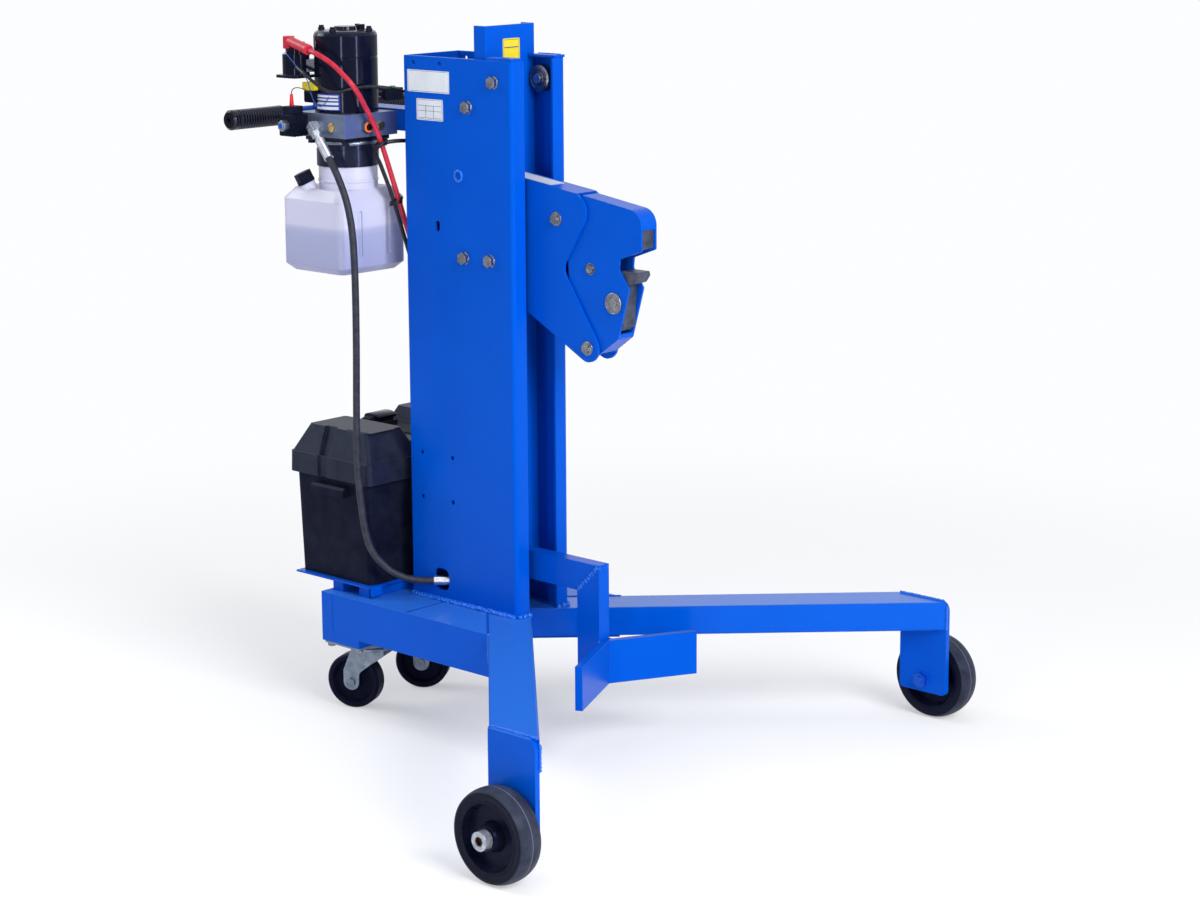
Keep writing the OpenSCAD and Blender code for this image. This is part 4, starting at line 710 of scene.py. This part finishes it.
# The tank is blow moulded from natural polyethylene. The fluid shows
# through as a darker band up to the filling line.
tank_plastic = bpy.data.materials.new("tank_plastic")
tank_plastic.use_nodes = True
tree = tank_plastic.node_tree
shader = tree.nodes["Principled BSDF"]
place = add_node(tree, "TexCoord")
height = add_node(tree, "SeparateXYZ", wires={0: place.outputs["Object"]})
cloud = add_node(tree, "TexNoise", {"Scale": 14, "Detail": 3}, {"Vector": place.outputs["Object"]})
sway = add_node(tree, "Math", {1: 0.006}, {0: cloud.outputs[0], 2: height.outputs["Z"]},
                operation="MULTIPLY_ADD")
fill = add_node(tree, "MapRange", {"From Min": 0.800, "From Max": 0.960},
                {"Value": sway.outputs[0]})
tone = add_node(tree, "ValToRGB", wires={0: fill.outputs[0]})
tone.color_ramp.elements[0].color = (0.30, 0.31, 0.50, 1)
tone.color_ramp.elements[1].color = (0.54, 0.55, 0.70, 1)
for at, colour in ((0.50, (0.33, 0.36, 0.55)), (0.56, (0.39, 0.41, 0.59)),
                   (0.60, (0.52, 0.53, 0.68))):
    tone.color_ramp.elements.new(at).color = (*colour, 1)
rounded = add_node(tree, "Bevel", {"Radius": 0.003}, samples=4)
relief = add_node(tree, "Bump", {"Strength": 0.12, "Distance": 0.001},
                  {"Height": cloud.outputs[0], "Normal": rounded.outputs[0]})
tree.links.new(tone.outputs[0], shader.inputs["Base Color"])
tree.links.new(relief.outputs[0], shader.inputs["Normal"])
shader.inputs["Roughness"].default_value = 0.32
shader.inputs["Subsurface Weight"].default_value = 0.35
shader.inputs["Subsurface Radius"].default_value = (0.02, 0.02, 0.02)
dress(tank_plastic, "tank")

# Handle and controls
# Steel stem and cross bar, painted, with ribbed black grips and the box of
# push buttons on the far end.
dress(blue_paint, "handle_stem", "handle_bar")
grip_rubber = finish("grip_rubber", (0.010, 0.011, 0.019), (0.018, 0.020, 0.031), 60, 0.20,
                     bump=0.03, bump_grain=500, clear=0.25, edge=0.0004, uneven=0.02,
                     gleam=0.15, tint=(0.4, 0.5, 1.0))
# Painted shade: the grooves between the ribs are darkened.
grip_start, rib_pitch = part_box("grips")[1].y - 0.1155, 0.006
banded(grip_rubber, grip_start, rib_pitch, 0.45, (0.001, 0.001, 0.003))
dress(grip_rubber, "grips")
dress(black_plastic, "switch_box")
green_button = finish("green_button", (0.01, 0.26, 0.05), (0.02, 0.34, 0.07), 40, 0.34,
                      bump=0.05, edge=0.0006)
red_button = finish("red_button", (0.46, 0.01, 0.01), (0.56, 0.02, 0.015), 40, 0.34, bump=0.05,
                    edge=0.0006)
dress(green_button, "button_up")
dress(red_button, "button_down")

# Battery
# Painted tray on two angles, a moulded box with a snap lid over the
# battery, and a webbing strap pulled tight by a cam buckle.
dress(blue_paint, "tray")
lid_plastic = finish("lid_plastic", (0.007, 0.009, 0.020), (0.015, 0.018, 0.033), 30, 0.42,
                     bump=0.16, bump_grain=900, edge=0.0022, uneven=0.06, gleam=0.18,
                     tint=(0.5, 0.65, 1.0))
dress(black_plastic, "battery_box")
dress(lid_plastic, "battery_lid")
webbing = finish("webbing", (0.006, 0.007, 0.010), (0.018, 0.019, 0.026), 300, 0.78, bump=0.6,
                 bump_grain=700)
dress(webbing, "battery_strap")

# The lid has a plain raised panel. The cam lever of the strap lies closed
# on top of it.
plate((-0.3440, -0.1230, 0.5226), (-0.2800, -0.0620, 0.5236), 0.003, 2, 0.0012)
settle("lid_panel", lid_plastic, "frame")
lever_middle = (-0.4130, 0.0250, 0.5170)
lever = cylinder(32, 0.009, 0.046, lever_middle, (math.radians(90), 0, 0))
bpy.ops.object.mode_set(mode="EDIT")
bpy.ops.mesh.select_all(action="SELECT")
bpy.ops.transform.resize(value=(2.2, 1, 0.8), center_override=lever_middle)
bpy.ops.object.mode_set(mode="OBJECT")
break_edges(lever, 0.002, segments=3)
settle("strap_lever", motor_black, "frame")


# Pressure hose
# Quarter inch rubber hose with crimped ends, from the manifold's port down
# to the foot of the lift cylinder.
def smoothed(points, steps=2):
    # A curve through the points, straight in its first and last stretch.
    curve = []
    last = len(points) - 1
    for i in range(last):
        a, b = Vector(points[i]), Vector(points[i + 1])
        before, after = Vector(points[max(i - 1, 0)]), Vector(points[min(i + 2, last)])
        for j in range(steps):
            t = j / steps
            if i in (0, last - 1):
                curve.append(a + (b - a) * t)
            else:
                curve.append(0.5 * (2 * a + (b - before) * t
                                    + (2 * before - 5 * a + 4 * b - after) * t * t
                                    + (3 * a - before - 3 * b + after) * t ** 3))
    return curve + [Vector(points[-1])]


def lay_cord(name, path, radius, material, node):
    # A cord that hangs along the path, in place of its CAD node if it has one.
    points = smoothed(path)
    core = bpy.data.curves.new(name, "CURVE")
    core.dimensions = "3D"
    core.bevel_depth = radius
    core.bevel_resolution = 4
    core.resolution_u = 5
    core.use_fill_caps = True
    core.materials.append(material)
    spline = core.splines.new("BEZIER")
    spline.bezier_points.add(len(points) - 1)
    for knot, at in zip(spline.bezier_points, points):
        knot.co = at
        knot.handle_left_type = knot.handle_right_type = "AUTO"
    cord = bpy.data.objects.new(name, core)
    bpy.context.scene.collection.objects.link(cord)
    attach(cord, "frame")
    if node:
        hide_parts(node)


hose_rubber = finish("hose_rubber", (0.014, 0.016, 0.026), (0.030, 0.034, 0.050), 90, 0.46,
                     bump=0.3, bump_grain=650, gleam=0.2)
hose_path = [
    (-0.3125, -0.1760, 1.0158), (-0.2974, -0.1785, 1.0000), (-0.2727, -0.1760, 0.9500),
    (-0.2567, -0.1760, 0.8850), (-0.2527, -0.1760, 0.7800), (-0.2587, -0.1720, 0.6600),
    (-0.2677, -0.1670, 0.5000), (-0.2637, -0.1620, 0.3950), (-0.2507, -0.1520, 0.3200),
    (-0.2207, -0.1200, 0.2760), (-0.1908, -0.0881, 0.2639), (-0.1743, -0.0736, 0.2639)]
lay_cord("pressure_hose", hose_path, 0.0063, hose_rubber, "hose")

# Battery and control cables
# Stranded copper in soft rubber: the red one from the solenoid's boot and
# the earth cable from the mast lug both drop into the lid, and the thin
# control cable runs to the push buttons.
red_rubber = finish("red_rubber", (0.40, 0.012, 0.032), (0.52, 0.022, 0.052), 90, 0.34, bump=0.2,
                    bump_grain=500)
cable_black = finish("cable_black", (0.004, 0.005, 0.010), (0.010, 0.011, 0.018), 90, 0.32,
                     bump=0.15, bump_grain=500)
# The boot is a cap with a sleeve and a thicker lip, melted into one.
boot_x, boot_y = -0.4370, -0.1528
bpy.ops.object.select_all(action="DESELECT")
bpy.ops.mesh.primitive_cylinder_add(vertices=32, radius=0.0104, depth=0.0220,
                                    location=(boot_x, boot_y, 1.2100))
boot = bpy.context.object
sleeve_root = Vector((boot_x, boot_y, 1.2130))
sleeve_way = Vector((0.9621, -0.2062, -0.1787))
for start, end, thick in ((0.002, 0.058, 0.0088), (0.057, 0.072, 0.0094)):
    bpy.ops.mesh.primitive_cylinder_add(
        vertices=32, radius=thick, depth=end - start,
        location=sleeve_root + sleeve_way * (start + end) / 2,
        rotation=sleeve_way.to_track_quat("Z", "Y").to_euler())
    boot.select_set(True)
    bpy.context.view_layer.objects.active = boot
    bpy.ops.object.join()
reshape(boot, "REMESH", mode="VOXEL", voxel_size=0.0008)
reshape(boot, "SMOOTH", iterations=6, factor=0.5)
bpy.ops.object.shade_smooth()
settle("terminal_boot", red_rubber, "frame")
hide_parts("cable_boot")

red_path = [
    (-0.3678, -0.1676, 1.2001), (-0.3485, -0.1718, 1.1966), (-0.3107, -0.1660, 1.1790),
    (-0.2747, -0.1520, 1.1430), (-0.2807, -0.1200, 1.1060), (-0.2797, -0.0920, 1.0580),
    (-0.2737, -0.0740, 1.0030), (-0.2637, -0.0520, 0.9200), (-0.2487, -0.0200, 0.8000),
    (-0.2477, 0.0300, 0.6800), (-0.2477, 0.0660, 0.5700), (-0.2477, 0.0740, 0.4959),
    (-0.2477, 0.0740, 0.4659)]
lay_cord("supply_cable", red_path, 0.0045, red_rubber, "red_cable")
earth_path = [
    (-0.2447, -0.0180, 1.0400), (-0.2447, -0.0340, 1.0400), (-0.2527, -0.0540, 1.0410),
    (-0.2597, -0.0760, 1.0410), (-0.2697, -0.0930, 1.0360), (-0.2807, -0.0960, 1.0230),
    (-0.2827, -0.0850, 1.0040), (-0.2777, -0.0730, 0.9700), (-0.2707, -0.0600, 0.9250),
    (-0.2567, -0.0300, 0.8100), (-0.2477, 0.0140, 0.6900), (-0.2477, 0.0460, 0.5700),
    (-0.2477, 0.0560, 0.4919), (-0.2477, 0.0560, 0.4659)]
lay_cord("earth_cable", earth_path, 0.0036, cable_black, "ground_cable")
control_path = [
    (-0.4025, -0.1664, 1.1700), (-0.3949, -0.1728, 1.1700), (-0.3607, -0.1820, 1.1580),
    (-0.3307, -0.1720, 1.1360), (-0.3127, -0.1560, 1.1290), (-0.3017, -0.1360, 1.1330),
    (-0.2907, -0.0960, 1.1360), (-0.2747, -0.0540, 1.1300), (-0.2587, -0.0140, 1.1160),
    (-0.2607, 0.0180, 1.1040), (-0.2887, 0.0360, 1.0880), (-0.3607, 0.0380, 1.0800),
    (-0.4707, 0.0380, 1.0800), (-0.4947, 0.0620, 1.0880), (-0.5067, 0.1040, 1.0980),
    (-0.5127, 0.1280, 1.0980), (-0.5127, 0.1400, 1.0980)]
lay_cord("control_lead", control_path, 0.0030, cable_black, "control_cable")

# Control wires
# Thin stranded wires: a blue one from the solenoid's stud to the motor's
# foot, and a black one from the valve coil's spade to the thermal switch.
wire_blue = finish("wire_blue", (0.01, 0.05, 0.30), (0.02, 0.08, 0.42), 90, 0.35, bump=0.05,
                   bump_grain=500)
blue_path = [
    (-0.4310, -0.1660, 1.1940), (-0.4275, -0.1695, 1.1945), (-0.4168, -0.1735, 1.1890),
    (-0.3977, -0.1765, 1.1770), (-0.3788, -0.1780, 1.1640), (-0.3671, -0.1760, 1.1516),
    (-0.3648, -0.1720, 1.1402), (-0.3650, -0.1680, 1.1271), (-0.3628, -0.1640, 1.1125),
    (-0.3579, -0.1600, 1.1044), (-0.3493, -0.1570, 1.1031), (-0.3463, -0.1500, 1.1100),
    (-0.3460, -0.1430, 1.1180)]
lay_cord("control_wire", blue_path, 0.0008, wire_blue, None)
spade_path = [
    (-0.4117, -0.1720, 1.1200), (-0.4115, -0.1720, 1.1250), (-0.4085, -0.1722, 1.1295),
    (-0.4030, -0.1725, 1.1325), (-0.3954, -0.1725, 1.1339), (-0.3840, -0.1700, 1.1325),
    (-0.3740, -0.1640, 1.1270), (-0.3710, -0.1570, 1.1200), (-0.3750, -0.1500, 1.1160),
    (-0.3820, -0.1440, 1.1150)]
lay_cord("coil_wire", spade_path, 0.0008, cable_black, None)

# Cable ties
# Nylon ties hold the supply and earth cables together behind the tank and
# at the mast's edge.
for i, (place, along) in enumerate((((-0.2737, -0.0900, 1.0380), (6, 18, -55)),
                                    ((-0.2687, -0.0600, 0.9340), (10, 22, -83)))):
    ring(f"cable_tie_{i}", place, along, 0.0098, 0.0011, cable_black, "frame",
         2.2)
    plate((place[0] + 0.008, place[1] - 0.003, place[2] - 0.003),
          (place[0] + 0.0135, place[1] + 0.003, place[2] + 0.003), 0.001, 0)
    settle(f"tie_head_{i}", cable_black, "frame")
